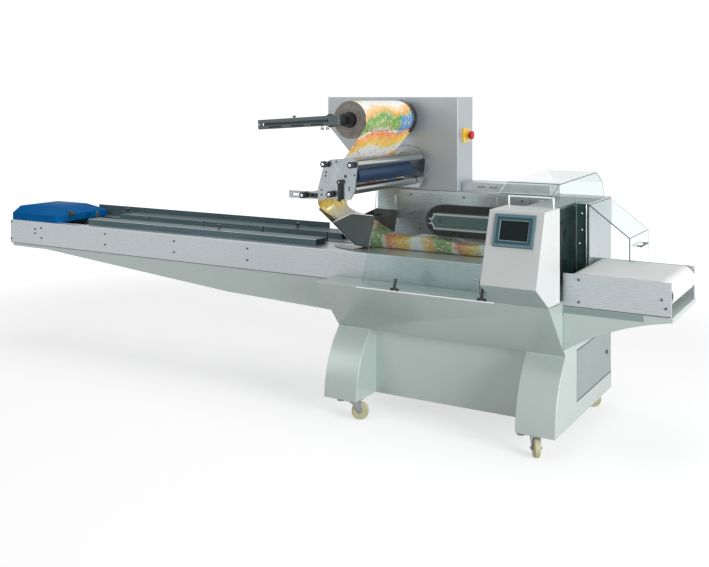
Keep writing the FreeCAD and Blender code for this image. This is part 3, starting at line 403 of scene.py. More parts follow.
def sheet(name, light, dark, metallic, roughness, stretch=(1, 1, 1), grain=260.0, bump=0.03, dust=0.12,
          coat=0.0, cloud=1.6, specular=0.5):
    """A sheet finish: two tones by grain and cloud, uneven gloss and a little dust."""
    finishes[name], tree, shader = start_material(
        name, Metallic=metallic, Coat_Weight=coat, Specular_IOR_Level=specular)
    finish = put(tree, sheet_grain, Light_Tone=light, Dark_Tone=dark, Stretch=stretch, Grain_Scale=grain,
                 Cloud_Scale=cloud)
    dusty = put(tree, settled_dust, Colour=finish["Colour"], Amount=dust)
    feed(tree, dusty["Colour"], shader.inputs["Base Color"])
    uneven = spread(tree, finish["Grain"], 0.3, 0.7, roughness * 0.8, roughness * 1.2)
    feed(tree, plus(tree, uneven, times(tree, dusty["Mask"], 0.3)), shader.inputs["Roughness"])
    bumped(tree, shader, finish["Grain"], bump, 0.0004)


along_x = (0.02, 1.0, 1.0)
along_y = (1.0, 0.02, 1.0)
along_z = (1.0, 1.0, 0.02)
paint = dict(grain=420, bump=0.015, coat=0.1)
powder = dict(grain=420, bump=0.04, specular=0.3)
sheet("painted_panel", (0.52, 0.595, 0.57), (0.47, 0.555, 0.53), 0.25, 0.32, **paint)
# Painted shade: a darker copy of the panel paint, for the pedestal's hatch and for the shadow strip under the
# outfeed.
sheet("shade_painted_panel", (0.27, 0.345, 0.33), (0.22, 0.295, 0.28), 0.25, 0.30, **paint)
sheet("white_panel", (0.80, 0.82, 0.81), (0.73, 0.77, 0.76), 0.0, 0.36, **powder)
sheet("column_paint", (0.68, 0.705, 0.70), (0.62, 0.65, 0.645), 0.0, 0.36, **powder)
sheet("satin_steel", (0.51, 0.55, 0.565), (0.455, 0.50, 0.52), 0.6, 0.30, along_x, 900, bump=0.008)
sheet("tower_steel", (0.475, 0.52, 0.545), (0.43, 0.475, 0.50), 0.35, 0.44, along_x, 900, bump=0.006)
sheet("table_steel", (0.14, 0.21, 0.235), (0.080, 0.125, 0.140), 0.12, 0.42, along_x, 700, bump=0.01,
      dust=0.03, specular=0.10)
sheet("dark_steel", (0.10, 0.13, 0.135), (0.06, 0.08, 0.085), 0.5, 0.38)
sheet("black_steel", (0.035, 0.04, 0.045), (0.015, 0.018, 0.02), 0.5, 0.3)
sheet("chain_steel", (0.30, 0.32, 0.32), (0.14, 0.16, 0.16), 0.85, 0.35, dust=0.05)
sheet("unit_steel", (0.46, 0.50, 0.52), (0.27, 0.31, 0.33), 0.9, 0.2, along_z, 800, bump=0.01, cloud=14)
sheet("bright_steel", (0.58, 0.61, 0.62), (0.42, 0.45, 0.46), 0.95, 0.16, along_y, 700, bump=0.01,
      dust=0.03)
sheet("chrome_wire", (0.80, 0.82, 0.83), (0.72, 0.74, 0.75), 1.0, 0.10, bump=0.02, dust=0.02)
sheet("zinc_steel", (0.36, 0.38, 0.38), (0.22, 0.24, 0.25), 0.9, 0.36, cloud=30)
sheet("bronze_plate", (0.085, 0.105, 0.10), (0.035, 0.048, 0.048), 0.8, 0.2, along_z, 700, bump=0.01,
      cloud=5)
sheet("green_steel", (0.060, 0.115, 0.105), (0.040, 0.080, 0.075), 0.35, 0.26, grain=400, bump=0.008,
      dust=0.02, cloud=3)
sheet("screen_frame", (0.17, 0.28, 0.31), (0.12, 0.21, 0.24), 0.0, 0.5, grain=700, bump=0.08, dust=0.0,
      specular=0.2)
sheet("screen_step", (0.050, 0.115, 0.145), (0.035, 0.085, 0.110), 0.0, 0.5, grain=700, bump=0.05,
      dust=0.0, specular=0.2)
sheet("screen_rim", (0.42, 0.55, 0.58), (0.34, 0.47, 0.50), 0.2, 0.3, grain=400)
sheet("blue_plastic", (0.006, 0.165, 0.47), (0.004, 0.115, 0.36), 0.0, 0.42, grain=500, bump=0.04,
      dust=0.0, specular=0.012)
sheet("black_plastic", (0.022, 0.022, 0.026), (0.010, 0.010, 0.012), 0.0, 0.33, grain=600, bump=0.1)
sheet("white_belt", (0.87, 0.88, 0.87), (0.80, 0.81, 0.80), 0.0, 0.6, grain=700, bump=0.2, dust=0.06)
sheet("blue_rubber", (0.014, 0.045, 0.105), (0.009, 0.030, 0.072), 0.0, 0.36, along_y, 300, dust=0.0,
      specular=0.3)
sheet("rail_white", (0.84, 0.86, 0.84), (0.74, 0.77, 0.75), 0.0, 0.4, grain=300)
sheet("stop_yellow", (0.92, 0.62, 0.02), (0.85, 0.52, 0.015), 0.0, 0.3, grain=500, bump=0.04, coat=0.3)
sheet("stop_red", (0.66, 0.012, 0.008), (0.54, 0.010, 0.006), 0.0, 0.3, grain=500, bump=0.04, coat=0.1,
      specular=0.2)
sheet("cream_wheel", (0.56, 0.54, 0.34), (0.46, 0.44, 0.26), 0.0, 0.5, grain=300, dust=0.3, cloud=14)
sheet("core_card", (0.30, 0.27, 0.22), (0.22, 0.19, 0.15), 0.0, 0.7, grain=500)
# Painted light: the two edge finishes colour acrylic's cut edges with the light they gather.
sheet("acrylic_edge_pale", (0.50, 0.64, 0.63), (0.36, 0.51, 0.50), 0.0, 0.25, grain=300, dust=0.0)
sheet("acrylic_edge_smoke", (0.16, 0.23, 0.225), (0.09, 0.14, 0.14), 0.0, 0.25, grain=300, dust=0.0)

# Painted shade: where the column's faces turn downwards, their colour is blended to a darker green by the
# slope of their normal.
tree = finishes["column_paint"].node_tree
column_colour = tree.nodes["Principled BSDF"].inputs["Base Color"]
slope = axes_of(tree, add_node(tree, "NewGeometry").outputs["True Normal"])[2]
underside = spread(tree, slope, -0.25, -0.40)
painted = column_colour.links[0].from_socket
feed(tree, blend_colour(tree, underside, painted, (0.47, 0.57, 0.55)), column_colour)
print("sheet finishes", len(finishes))

# %% [markdown]
# Glass, bristles and film need shaders of their own. Clear acrylic would throw a dark shadow in a path
# tracer, so its material lets shadow rays straight through. The display is black glass over a faint glow of
# grey, and the bristles are nearly black with a soft sheen. Film is the print with a glossy coat and fine
# creases.

# %% Acrylic, display, bristle and film
def acrylic(name, tint):
    """Clear sheet: a glass shader that shadow and diffuse rays pass."""
    finishes[name], tree, shader = start_material(
        name, Base_Color=tint, Roughness=0.0, IOR=1.27, Transmission_Weight=1.0)
    clear = add_node(tree, "BsdfTransparent", Color=tint)
    path = add_node(tree, "LightPath")
    passed = calc(tree, "MAXIMUM", path.outputs["Is Shadow Ray"], path.outputs["Is Diffuse Ray"])
    choice = add_node(tree, "MixShader")
    for value, socket in zip((passed, shader.outputs[0], clear.outputs[0]), choice.inputs):
        feed(tree, value, socket)
    feed(tree, choice.outputs[0], tree.nodes["Material Output"].inputs["Surface"])


def mottled(name, scale, detail, first, second, **plain):
    """A dark finish of two tones that drift into each other."""
    finishes[name], tree, shader = start_material(name, **plain)
    tone = noise_at(tree, object_place(tree), scale, detail)
    feed(tree, blend_colour(tree, tone, first, second), shader.inputs["Base Color"])


def film_finish(name, shift, repeat=0.34):
    """Printed film: the print under a glossy coat, with fine creases."""
    finishes[name], tree, shader = start_material(name, Coat_Weight=0.35)
    ink = put(tree, film_print, Place=add_node(tree, "UVMap").outputs[0], Repeat=repeat, Shift=shift)
    feed(tree, ink["Colour"], shader.inputs["Base Color"])
    crease = noise_at(tree, object_place(tree), 38.0, 4.0)
    feed(tree, spread(tree, crease, 0.3, 0.7, 0.16, 0.34), shader.inputs["Roughness"])
    bumped(tree, shader, crease, 0.35, 0.002)


acrylic("clear_acrylic", (0.80, 0.875, 0.865))
film_finish("printed_film", 0.0)
film_finish("folding_film", 0.06, 0.62)
film_finish("tube_film", 0.10, 0.42)
mottled("display_glass", 22.0, 2.0, (0.004, 0.010, 0.012), (0.010, 0.022, 0.024),
        Specular_IOR_Level=0.12, Roughness=0.10)
mottled("black_bristle", 160.0, 3.0, (0.002, 0.003, 0.003), (0.010, 0.014, 0.015),
        Specular_IOR_Level=0.06, Roughness=0.5, Sheen_Weight=0.03)

for name, node in nodes.items():
    node.material_slots[0].material = finishes[slot_of[name]]
print("finishes", len(finishes))

# %% [markdown]
# ## Mesh helpers
#
# Every added piece is drawn with a few small helpers: a block, a turned body from a profile, a bar between
# two points and a thin strip. A turned body covers screws, knobs, washers and sleeves. Each function adds
# to one mesh, so many like things become a single piece.

# %% Blocks, turned bodies, bars and strips
to_front, to_back, to_outfeed, upward = (0, -1, 0), (0, 1, 0), (1, 0, 0), (0, 0, 1)


def add_block(mesh, low, high):
    """A block between two corners."""
    middle = (Vector(low) + Vector(high)) / 2
    size = Matrix.Diagonal((Vector(high) - Vector(low)).to_4d())
    bmesh.ops.create_cube(mesh, size=1.0, matrix=Matrix.Translation(middle) @ size)


def add_turned(mesh, profile, start, direction, steps=24):
    """A body turned about an axis, from (radius, distance along) pairs."""
    turn = Vector(upward).rotation_difference(Vector(direction)).to_matrix()
    rings = []
    for radius, along in profile:
        ring = []
        for step in range(steps if radius > 1e-6 else 1):
            angle = 2 * pi * step / steps
            spot = Vector((radius * cos(angle), radius * sin(angle), along))
            ring.append(mesh.verts.new(Vector(start) + turn @ spot))
        rings.append(ring)
    for first, second in zip(rings, rings[1:]):
        for step in range(steps):
            after = (step + 1) % steps
            loop = [first[step % len(first)], first[after % len(first)]]
            loop += [second[after % len(second)], second[step % len(second)]]
            loop = list(dict.fromkeys(loop))
            if len(loop) > 2:
                mesh.faces.new(loop)


def add_bar(mesh, start, end, radius, steps=16):
    """A round bar with closed ends between two points."""
    way = Vector(end) - Vector(start)
    add_turned(mesh, ((0, 0), (radius, 0), (radius, way.length), (0, way.length)), start, way, steps)


def bridge(mesh, first, second):
    """Four-sided faces between two closed loops of vertices."""
    for index in range(len(first)):
        after = (index + 1) % len(first)
        mesh.faces.new((first[index], first[after], second[after], second[index]))


def add_plate(mesh, top, bottom):
    """A flat solid between two loops of points."""
    top = [mesh.verts.new(spot) for spot in top]
    bottom = [mesh.verts.new(spot) for spot in bottom]
    mesh.faces.new(top)
    mesh.faces.new(bottom[::-1])
    bridge(mesh, bottom, top)


def add_strip(mesh, start, end, width, way, proud):
    """A thin strip from one point to another, standing a little off a face."""
    start, end, way = Vector(start), Vector(end), Vector(way).normalized()
    across = (end - start).normalized().cross(way) * width / 2
    middle = [start - across, start + across, end + across, end - across]
    add_plate(mesh, [spot + way * proud for spot in middle], [spot - way * proud for spot in middle])


print("mesh helpers: add_block, add_turned, add_bar, bridge, add_plate, add_strip")


# %% From a mesh to a piece
def to_data(mesh, name):
    """A finished bmesh as mesh data."""
    data = bpy.data.meshes.new(name)
    mesh.to_mesh(data)
    mesh.free()
    return data


def seat(piece, body, replaces=()):
    """Makes a piece ride on its body, and stand for the nodes that it replaces."""
    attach(piece, body)
    for node in replaces:
        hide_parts(node)
    print(piece.name, "on", body, "faces", len(piece.data.polygons))


def finish_piece(mesh, name, finish, body="root", bevel=0.0, replaces=(), smooth_angle=35):
    """Turns a bmesh into a piece that rides on its body."""
    bmesh.ops.recalc_face_normals(mesh, faces=mesh.faces)
    data = to_data(mesh, name)
    data.shade_smooth()
    data.set_sharp_from_angle(angle=radians(smooth_angle))
    data.materials.append(finishes[finish])
    piece = new_object(name, data)
    if bevel:
        rounding = piece.modifiers.new("edge rounding", "BEVEL")
        rounding.width = bevel
        rounding.segments = 3
        rounding.limit_method = "ANGLE"
        rounding.angle_limit = radians(40)
        rounding.harden_normals = True
    seat(piece, body, replaces)


def strip_piece(name, finish, strips):
    """One piece from strips, each (start, end, width, way, proud)."""
    mesh = bmesh.new()
    for strip in strips:
        add_strip(mesh, *strip)
    finish_piece(mesh, name, finish)


print("piece helpers: to_data, seat, finish_piece, strip_piece")

# %% [markdown]
# ## Rounded sheet edges
#
# Folded and painted sheet has no knife edges: a 1 to 4 mm radius catches the light all round each housing.
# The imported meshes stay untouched, so a copy gets its triangles joined into whole flats and a bevel, and
# stands for the node it copies.

# %% Soften the housings
def join_flats(mesh, distance=1e-5):
    """Joins a mesh's triangles into whole flats."""
    bmesh.ops.remove_doubles(mesh, verts=mesh.verts, dist=distance)
    bmesh.ops.dissolve_limit(mesh, angle_limit=radians(1), verts=mesh.verts, edges=mesh.edges)


def flat_copy(node):
    """A copy of a node's mesh, in whole flats."""
    mesh = bmesh.new()
    mesh.from_mesh(nodes[node].data)
    join_flats(mesh)
    return mesh


# The edge radius of each housing, in metres.
rounded = {
    "control_column": 0.005, "rear_cabinet": 0.004, "reel_tower": 0.004, "infeed_end_cover": 0.010,
    "pedestal_hatch": 0.0012, "conveyor_sides": 0.0012, "outfeed_bracket": 0.003, "infeed_bracket": 0.0012,
    "side_tables": 0.0010, "seal_station": 0.002, "screen_bezel": 0.002, "stop_base": 0.0007,
    "backing_plate": 0.0015, "outfeed_sides": 0.0012, "reel_arm": 0.002, "nip_lever": 0.002,
}
# Some housings get another finish than their record's: the hatch a darker one that is painted shade, the
# column one that paints shade on its underside, and the tower a duller steel.
tone_and_shade = {"pedestal_hatch": "shade_painted_panel", "control_column": "column_paint", "reel_tower": "tower_steel"}
for node, radius in rounded.items():
    slot = slot_of[node]
    body = nodes[node]["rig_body"]
    finish_piece(flat_copy(node), node + "_rounded", tone_and_shade.get(node, slot), body, radius, (node,))

# %% [markdown]
# The pedestal, its two legs and the housing above them are welded and painted as one, so no seam shows
# where their end faces meet. A union of the three gives that one skin, and then takes the same rounded
# edge.

# %% Weld the painted base
base_nodes = ("pedestal", "legs", "lower_housing")
joined, *others = [new_object("weld_" + node, to_data(flat_copy(node), node)) for node in base_nodes]
for part in others:
    weld = joined.modifiers.new("weld", "BOOLEAN")
    weld.operation = "UNION"
    weld.solver = "EXACT"
    weld.object = part
    whole = bpy.data.meshes.new_from_object(joined.evaluated_get(bpy.context.evaluated_depsgraph_get()))
    joined.modifiers.clear()
    joined.data = whole
    bpy.data.objects.remove(part)
mesh = bmesh.new()
mesh.from_mesh(joined.data)
bpy.data.objects.remove(joined)
join_flats(mesh, 2e-5)
finish_piece(mesh, "welded_base", "painted_panel", bevel=0.003, replaces=base_nodes)

# %% [markdown]
# ## The film, from the roll to the forming box
#
# The web leaves the roll on its outfeed side, turns down round the left roller, passes behind the rubber
# roller and under the lower tie bar, and goes over the guide roller. Between rollers it is straight, and on
# each roller it lies on an arc. So the path is worked out from circles: a common tangent between each pair
# and the arc between one tangent and the next.

# %% Tangents and arcs round the rollers
def spindle(node):
    """(x, z, radius) of a roller that lies along Y."""
    low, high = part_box(node)
    return (low.x + high.x) / 2, (low.z + high.z) / 2, (high.x - low.x) / 2


def evenly(start, end, steps):
    """Numbers from start to end, evenly spaced."""
    return [start + (end - start) * step / steps for step in range(steps + 1)]


def film_path(circles, gap, arc_step=0.15):
    """Points of a line that runs round circles (x, z, radius, sense), sense 1 for counter-clockwise."""
    touches = []
    for (ax, az, ar, sense_a), (bx, bz, br, sense_b) in zip(circles, circles[1:]):
        reach_a, reach_b = sense_a * (ar + gap), sense_b * (br + gap)
        dx, dz = bx - ax, bz - az
        heading = atan2(dz, dx) + asin((reach_a - reach_b) / hypot(dx, dz))
        side_x, side_z = sin(heading), -cos(heading)
        leaves = (ax + side_x * reach_a, az + side_z * reach_a)
        touches.append((leaves, (bx + side_x * reach_b, bz + side_z * reach_b)))
    points = [touches[0][0]]
    for index, (x, z, radius, sense) in enumerate(circles[1:-1], 1):
        arrive, leave = touches[index - 1][1], touches[index][0]
        first = atan2(arrive[1] - z, arrive[0] - x)
        last = atan2(leave[1] - z, leave[0] - x)
        turn = (last - first) * sense % (2 * pi)
        steps = max(1, ceil(turn / arc_step))
        for step in range(steps + 1):
            angle = first + sense * turn * step / steps
            points.append((x + (radius + gap) * cos(angle), z + (radius + gap) * sin(angle)))
    points.append(touches[-1][1])
    return points


def film_sheet(name, rows, lengths, finish="printed_film", body="root", replaces=(), closed=False):
    """A sheet of film from rows of points, with metres along and across it as its UV."""
    wide = len(rows[0])
    faces = []
    for start in range(0, (len(rows) - 1) * wide, wide):
        for column in range(wide - (0 if closed else 1)):
            after = (column + 1) % wide
            faces.append((start + column, start + after, start + wide + after, start + wide + column))
    data = bpy.data.meshes.new(name)
    data.from_pydata([spot for row in rows for spot in row], [], faces)
    across = [0.0]
    for first, second in zip(rows[0], rows[0][1:]):
        across.append(across[-1] + (Vector(second) - Vector(first)).length)
    layer = data.uv_layers.new(name="film")
    for loop in data.loops:
        layer.data[loop.index].uv = (lengths[loop.vertex_index // wide], across[loop.vertex_index % wide])
    data.shade_smooth()
    data.materials.append(finishes[finish])
    piece = new_object(name, data)
    solid = piece.modifiers.new("film thickness", "SOLIDIFY")
    solid.thickness = 0.0004
    solid.offset = 0
    seat(piece, body, replaces)


print("film helpers: spindle, evenly, film_path, film_sheet")

# %% Lay the web over the rollers
film_gap = 0.0005
across_steps = 36
roll_x, roll_z, roll_radius = spindle("film_roll")
roll_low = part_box("film_roll")[0]
web_low, web_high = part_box("film_web")
guide = spindle("guide_roller")
tie_bar = (0.519, 1.197, 0.011)
former_low, former_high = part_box("film_former")
former_tip = (former_low.x + 0.014, 1.0668, 0.0)
left = spindle("left_roller")
wound = (roll_x, roll_z, roll_radius - 0.0009)
circles = [wound + (-1,), left + (1,), tie_bar + (-1,), guide + (1,), former_tip + (1,)]
line = film_path(circles, film_gap)
guide_leaves = len(line) - 2
web_y = evenly(web_low.y, web_high.y, across_steps)
lengths, rows, run = [], [], 0.0
for index, (x, z) in enumerate(line):
    if index:
        run += hypot(x - line[index - 1][0], z - line[index - 1][1])
    if index <= guide_leaves:
        rows.append([(x, y, z) for y in web_y])
        lengths.append(run)
film_sheet("film_over_rollers", rows, lengths, replaces=("film_web",))
print("film length to the former", round(run, 3), "m,", len(rows), "rows")

# %% [markdown]
# ## The film in the forming box
#
# Past the guide roller the film narrows to the box's cheeks. Its middle goes straight on to the top of the
# tube, and its edges run down the sloping lips and close under the product. So each thread of the film is a
# curve through four points: the roller, the box's tip, a hooped section at the toe, and the tube's start.
# Blender has curve lofts only in NURBS surfaces, and rows of points give a plain mesh that can carry a UV.

# %% Hoops and threads
tube_low, tube_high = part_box("film_tube")
tube_middle = (tube_low.y + tube_high.y) / 2
tube_half = (tube_high.y - tube_low.y) / 2
tube_tall = tube_high.z - tube_low.z
tube_floor = tube_low.z + 0.0015
path_centre = (former_low.y + former_high.y) / 2
former_half = (former_high.y - former_low.y) / 2 - 0.006
toe_x = former_low.x + 0.235
toe_top, toe_bottom, toe_crown = 1.004, 0.892, 0.018
fold_steps = 30


def hoop(share, half, top, bottom, crown=0.0, corner=0.022):
    """(y, z) on an open hoop, by share from its middle to its edge: crown, side, then underside."""
    bend = pi / 2 * corner
    legs = (half - corner, bend, top - bottom - 2 * corner, bend, half - corner)
    far = share * sum(legs)
    if far < legs[0]:
        return far, top + crown * (1 - far / legs[0])
    far -= legs[0]
    if far < bend:
        angle = far / corner
        return half - corner + corner * sin(angle), top - corner + corner * cos(angle)
    far -= bend
    if far < legs[2]:
        return half, top - corner - far
    far -= legs[2]
    if far < bend:
        angle = far / corner
        return half - corner + corner * cos(angle), bottom + corner - corner * sin(angle)
    return half - corner - (far - bend), bottom


def through(points, share):
    """A smooth curve through points, at a share from 0 to 1."""
    place = share * (len(points) - 1)
    index = min(int(place), len(points) - 2)
    t = place - index
    a, b = points[index], points[index + 1]
    tangent_a = (b - points[max(index - 1, 0)]) / 2
    tangent_b = (points[min(index + 2, len(points) - 1)] - a) / 2
    arrive = a * (2 * t**3 - 3 * t**2 + 1) + tangent_a * (t**3 - 2 * t**2 + t)
    return arrive + b * (3 * t**2 - 2 * t**3) + tangent_b * (t**3 - t**2)


print("film helpers: hoop, through; tube", round(tube_high.x - tube_low.x, 3), "m long")

# %% Loft the fold
threads = []
for step, start_y in enumerate(web_y):
    share = 2 * step / across_steps - 1
    side = copysign(1, share)
    lean = abs(share) ** 1.5
    toe_y, toe_z = hoop(abs(share), former_half - 0.012, toe_top, toe_bottom, toe_crown)
    tube_y, tube_z = hoop(abs(share), tube_half - 0.001, tube_high.z - 0.001, tube_floor)
    tip_y = path_centre + side * former_half * abs(share)
    threads.append((
        Vector((line[guide_leaves][0], start_y, line[guide_leaves][1])),
        Vector((former_tip[0] + 0.075 * (1 - lean), tip_y, 1.086 - 0.016 * lean)),
        Vector((toe_x - 0.03 * (1 - lean), path_centre + side * toe_y, toe_z)),
        Vector((tube_low.x, tube_middle + side * tube_y, tube_z)),
    ))
middle = across_steps // 2
rows, lengths = [], []
for step in range(fold_steps + 1):
    rows.append([tuple(through(thread, step / fold_steps)) for thread in threads])
    if step:
        run += (Vector(rows[-1][middle]) - Vector(rows[-2][middle])).length
    lengths.append(run)
film_sheet("film_fold", rows, lengths, "folding_film")

# %% [markdown]
# ## The film tube
#
# Between the box and the end seal the film is a loose tube: it fits the products it holds and sags between
# them. A ring of points is swept along the belt, drawn in between products and wrinkled with seeded noise.

# %% Sweep the tube
pitch = 0.457
first_product = 0.42
mouth = 0.14
waist, swell = 0.72, 0.40
ripple_reach, ripple_bias = 0.0022, 0.0008
ring_steps = 64
rows, lengths = [], []
for x in evenly(tube_low.x, tube_high.x, 150):
    phase = 0.5 + 0.5 * cos(2 * pi * (x - first_product) / pitch)
    open_end = max(0.0, 1 - (x - tube_low.x) / mouth)
    full = min(1.0, waist + swell * phase)
    full += (1 - full) * open_end**2 * (3 - 2 * open_end)
    core = Vector((x, tube_middle, tube_low.z + tube_tall * 0.45))
    crest = tube_low.z + 0.002 + (tube_tall - 0.005) * full
    ring = []
    for step in range(ring_steps):
        share = 2 * step / ring_steps - 1
        y, z = hoop(abs(share), tube_half - 0.0015, crest, tube_floor)
        y = copysign(y, share) * (0.985 if full < 1 else 1.0)
        spot = Vector((x, tube_middle + y, z))
        ripple = noise.noise(Vector((x * 26, y * 60, z * 60))) * ripple_reach
        ring.append(tuple(spot + (spot - core).normalized() * min(0.0, ripple - ripple_bias)))
    rows.append(ring)
    lengths.append(run + x - tube_low.x)
film_sheet("film_tube_filled", rows, lengths, "tube_film", replaces=("film_tube",), closed=True)

# %% [markdown]
# ## The reel
#
# A full roll shows printed film round it and hundreds of wound layers at its end. The layers are a fine
# ring pattern, so the end gets its own material whose colour and bump follow the distance from the shaft.
# Behind the roll a black flange with clamping screws grips the core, and the card core's rim shows in the
# near end.

# %% Roll surface
turns_round = 96
flange_front, flange_back = 0.292, 0.344
print_radius = roll_radius - 0.0006
roll_y = evenly(roll_low.y, flange_front, 24)
leaves_at = atan2(line[0][1] - roll_z, line[0][0] - roll_x)
rows, lengths = [], []
for step in range(turns_round + 1):
    back = 2 * pi * (1 - step / turns_round)
    x = roll_x + print_radius * cos(leaves_at + back)
    z = roll_z + print_radius * sin(leaves_at + back)
    rows.append([(x, y, z) for y in roll_y])
    lengths.append(-roll_radius * back)
film_sheet("roll_print", rows, lengths, body="reel", replaces=("film_roll",))

# %% Wound end and core
finishes["wound_ends"], tree, shader = start_material("wound_ends", Coat_Weight=0.1, Roughness=0.45)
place = object_place(tree)
from_shaft = vector_calc(tree, "SUBTRACT", place, (roll_x, 0, roll_z))
ring_distance = vector_calc(tree, "LENGTH", vector_calc(tree, "MULTIPLY", from_shaft, (1, 0, 1)))
fine_rings, coarse_rings = 2600.0, 420.0
layers = calc(tree, "SINE", times(tree, ring_distance, fine_rings))
slow = noise_at(tree, place, 26.0)
coarse = calc(tree, "SINE", times(tree, ring_distance, coarse_rings))
mixed = plus(tree, times(tree, layers, 0.22), plus(tree, slow, times(tree, coarse, 0.16)))
wound_tone = blend_colour(tree, spread(tree, mixed, 0.1, 0.9), (0.13, 0.115, 0.095), (0.36, 0.34, 0.30))
feed(tree, wound_tone, shader.inputs["Base Color"])
bumped(tree, shader, layers, 0.25, 0.0006)

core_radius, tube_wall = 0.044, 0.004
bore, rim = core_radius + 0.0002, roll_radius - 0.0008
mesh = bmesh.new()
profile = ((bore, 0), (bore, 0.0011), (roll_radius - 0.0012, 0.0011), (rim, 0.0004), (rim, 0), (bore, 0))
add_turned(mesh, profile, (roll_x, roll_low.y + 0.0012, roll_z), to_front, turns_round)
finish_piece(mesh, "roll_ends", "wound_ends", "reel")

mesh = bmesh.new()
bore, rim = core_radius - 0.0002, core_radius + tube_wall
profile = ((bore, 0), (rim, 0), (rim, 0.0015), (bore, 0.0015), (bore, 0))
add_turned(mesh, profile, (roll_x, roll_low.y + 0.0001, roll_z), to_front, 64)
finish_piece(mesh, "roll_core_edge", "core_card", "reel")

# %% Flange with its clamping screws
flange_radius = 0.1045
flange_deep = flange_back - flange_front
clamp_screws = 10
mesh = bmesh.new()
profile = (
    (0.022, 0), (flange_radius - 0.002, 0), (flange_radius, 0.002), (flange_radius, flange_deep - 0.006),
    (flange_radius - 0.012, flange_deep), (0.083, flange_deep), (0.083, 0.030), (0.022, 0.030),
)
add_turned(mesh, profile, (roll_x, flange_front, roll_z), to_back, 72)
for step in range(clamp_screws):
    angle = 2 * pi * step / clamp_screws + 0.2
    way = Vector((cos(angle), 0, sin(angle)))
    spot = Vector((roll_x, flange_front + 0.026, roll_z)) + way * (flange_radius - 0.0008)
    add_turned(mesh, ((0.005, 0), (0.005, 0.003), (0.003, 0.0035), (0, 0.0035)), spot, way, 12)
finish_piece(mesh, "roll_flange", "black_steel", "reel")

# %% [markdown]
# ## The brush belt
#
# Thousands of stiff black bristles stand out from the belt and press the film on the products. A particle
# system would need conversion, so each bristle is a three-sided spike of its own, with a seeded lean, in
# one mesh.

# %% The loop round the pulleys
belt_low, belt_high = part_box("brush_belt")
frame_low, frame_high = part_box("brush_frame")
half_tall = (belt_high.z - belt_low.z) / 2
pulley_reach = (frame_high.z - frame_low.z) / 2
bristle_root = pulley_reach + 0.005
centre_z = (belt_low.z + belt_high.z) / 2
left_x, right_x = belt_low.x + half_tall, belt_high.x - half_tall
straight = right_x - left_x
bend = pi * bristle_root
loop_length = 2 * straight + 2 * bend


def on_loop(distance, radius):
    """Point and outward direction on the loop round both pulleys, at a distance along its root line."""
    if distance < straight:
        return Vector((left_x + distance, 0, centre_z + radius)), Vector((0, 0, 1))
    distance -= straight
    if distance < bend:
        angle = pi / 2 - distance / bristle_root
        way = Vector((cos(angle), 0, sin(angle)))
        return Vector((right_x, 0, centre_z)) + way * radius, way
    distance -= bend
    if distance < straight:
        return Vector((right_x - distance, 0, centre_z - radius)), Vector((0, 0, -1))
    distance -= straight
    angle = -pi / 2 - distance / bristle_root
    way = Vector((cos(angle), 0, sin(angle)))
    return Vector((left_x, 0, centre_z)) + way * radius, way


print("brush loop", round(loop_length, 3), "m")

# %% Grow the bristles
random.seed(41)
tuft_pitch = 0.0078
tuft_rows = 9
hairs = 30
hair_radius = 0.0009
foot_spread, tip_spread, stray = 0.0022, 0.0075, 0.004
near_y, far_y = belt_low.y + 0.010, belt_high.y - 0.010
mesh = bmesh.new()
for station in range(int(loop_length / tuft_pitch)):
    for row in range(tuft_rows):
        y = near_y + (far_y - near_y) * row / (tuft_rows - 1)
        shift = tuft_pitch * (0.5 if row % 2 else 0.0)
        root, way = on_loop((station * tuft_pitch + shift) % loop_length, bristle_root)
        across = way.cross(Vector(to_back)) * hair_radius
        beside = Vector(to_back) * hair_radius
        for hair in range(hairs):
            lean = Vector((random.uniform(-1, 1), random.uniform(-1, 1), random.uniform(-1, 1)))
            lean -= way * lean.dot(way)
            foot = root + lean * foot_spread + Vector((0, y, 0))
            long = (half_tall - bristle_root) * random.uniform(0.86, 0.995)
            tip = foot + way * long + lean * tip_spread
            if not belt_low.y - stray <= tip.y <= belt_high.y + stray:
                continue
            base = [foot + across, foot - across * 0.5 + beside, foot - across * 0.5 - beside]
            base = [mesh.verts.new(spot) for spot in base]
            point = mesh.verts.new(tip)
            for first, second in zip(base, base[1:] + base[:1]):
                mesh.faces.new((first, second, point))
finish_piece(mesh, "bristles", "black_bristle", replaces=("brush_belt",))

# %% [markdown]
# The bristles stand on a black carrier strip that runs round the same loop. A dark side plate with two
# pulley hubs closes the near side, and two white rails with clips hold the belt in its track.

# %% Carrier, side plate, rails and clips
def loop_points(steps, radius, y):
    """Points round the brush's loop, at one y."""
    return [on_loop(loop_length * step / steps, radius)[0] + Vector((0, y, 0)) for step in range(steps)]


mesh = bmesh.new()
near, far, inside = belt_low.y + 0.0005, belt_high.y - 0.0005, pulley_reach + 0.0002
corners = ((inside, near), (bristle_root, near), (bristle_root, far), (inside, far))
sections = zip(*[loop_points(160, radius, y) for radius, y in corners])
loops = [[mesh.verts.new(spot) for spot in section] for section in sections]
for first, second in zip(loops, loops[1:] + loops[:1]):
    bridge(mesh, first, second)
finish_piece(mesh, "bristle_carrier", "black_plastic")

plate_face = frame_low.y - 0.0006
mesh = bmesh.new()
front, back = [
    [mesh.verts.new(spot) for spot in loop_points(240, pulley_reach - 0.0075, y)]
    for y in (plate_face, frame_low.y + 0.001)]
mesh.faces.new(front)
bridge(mesh, front, back)
hub = ((0, 0), (0.020, 0), (0.020, 0.003), (0.012, 0.004), (0.012, 0.008), (0, 0.008))
for x in (left_x, right_x):
    add_turned(mesh, hub, (x, plate_face, centre_z), to_front)
finish_piece(mesh, "brush_side_plate", "green_steel")

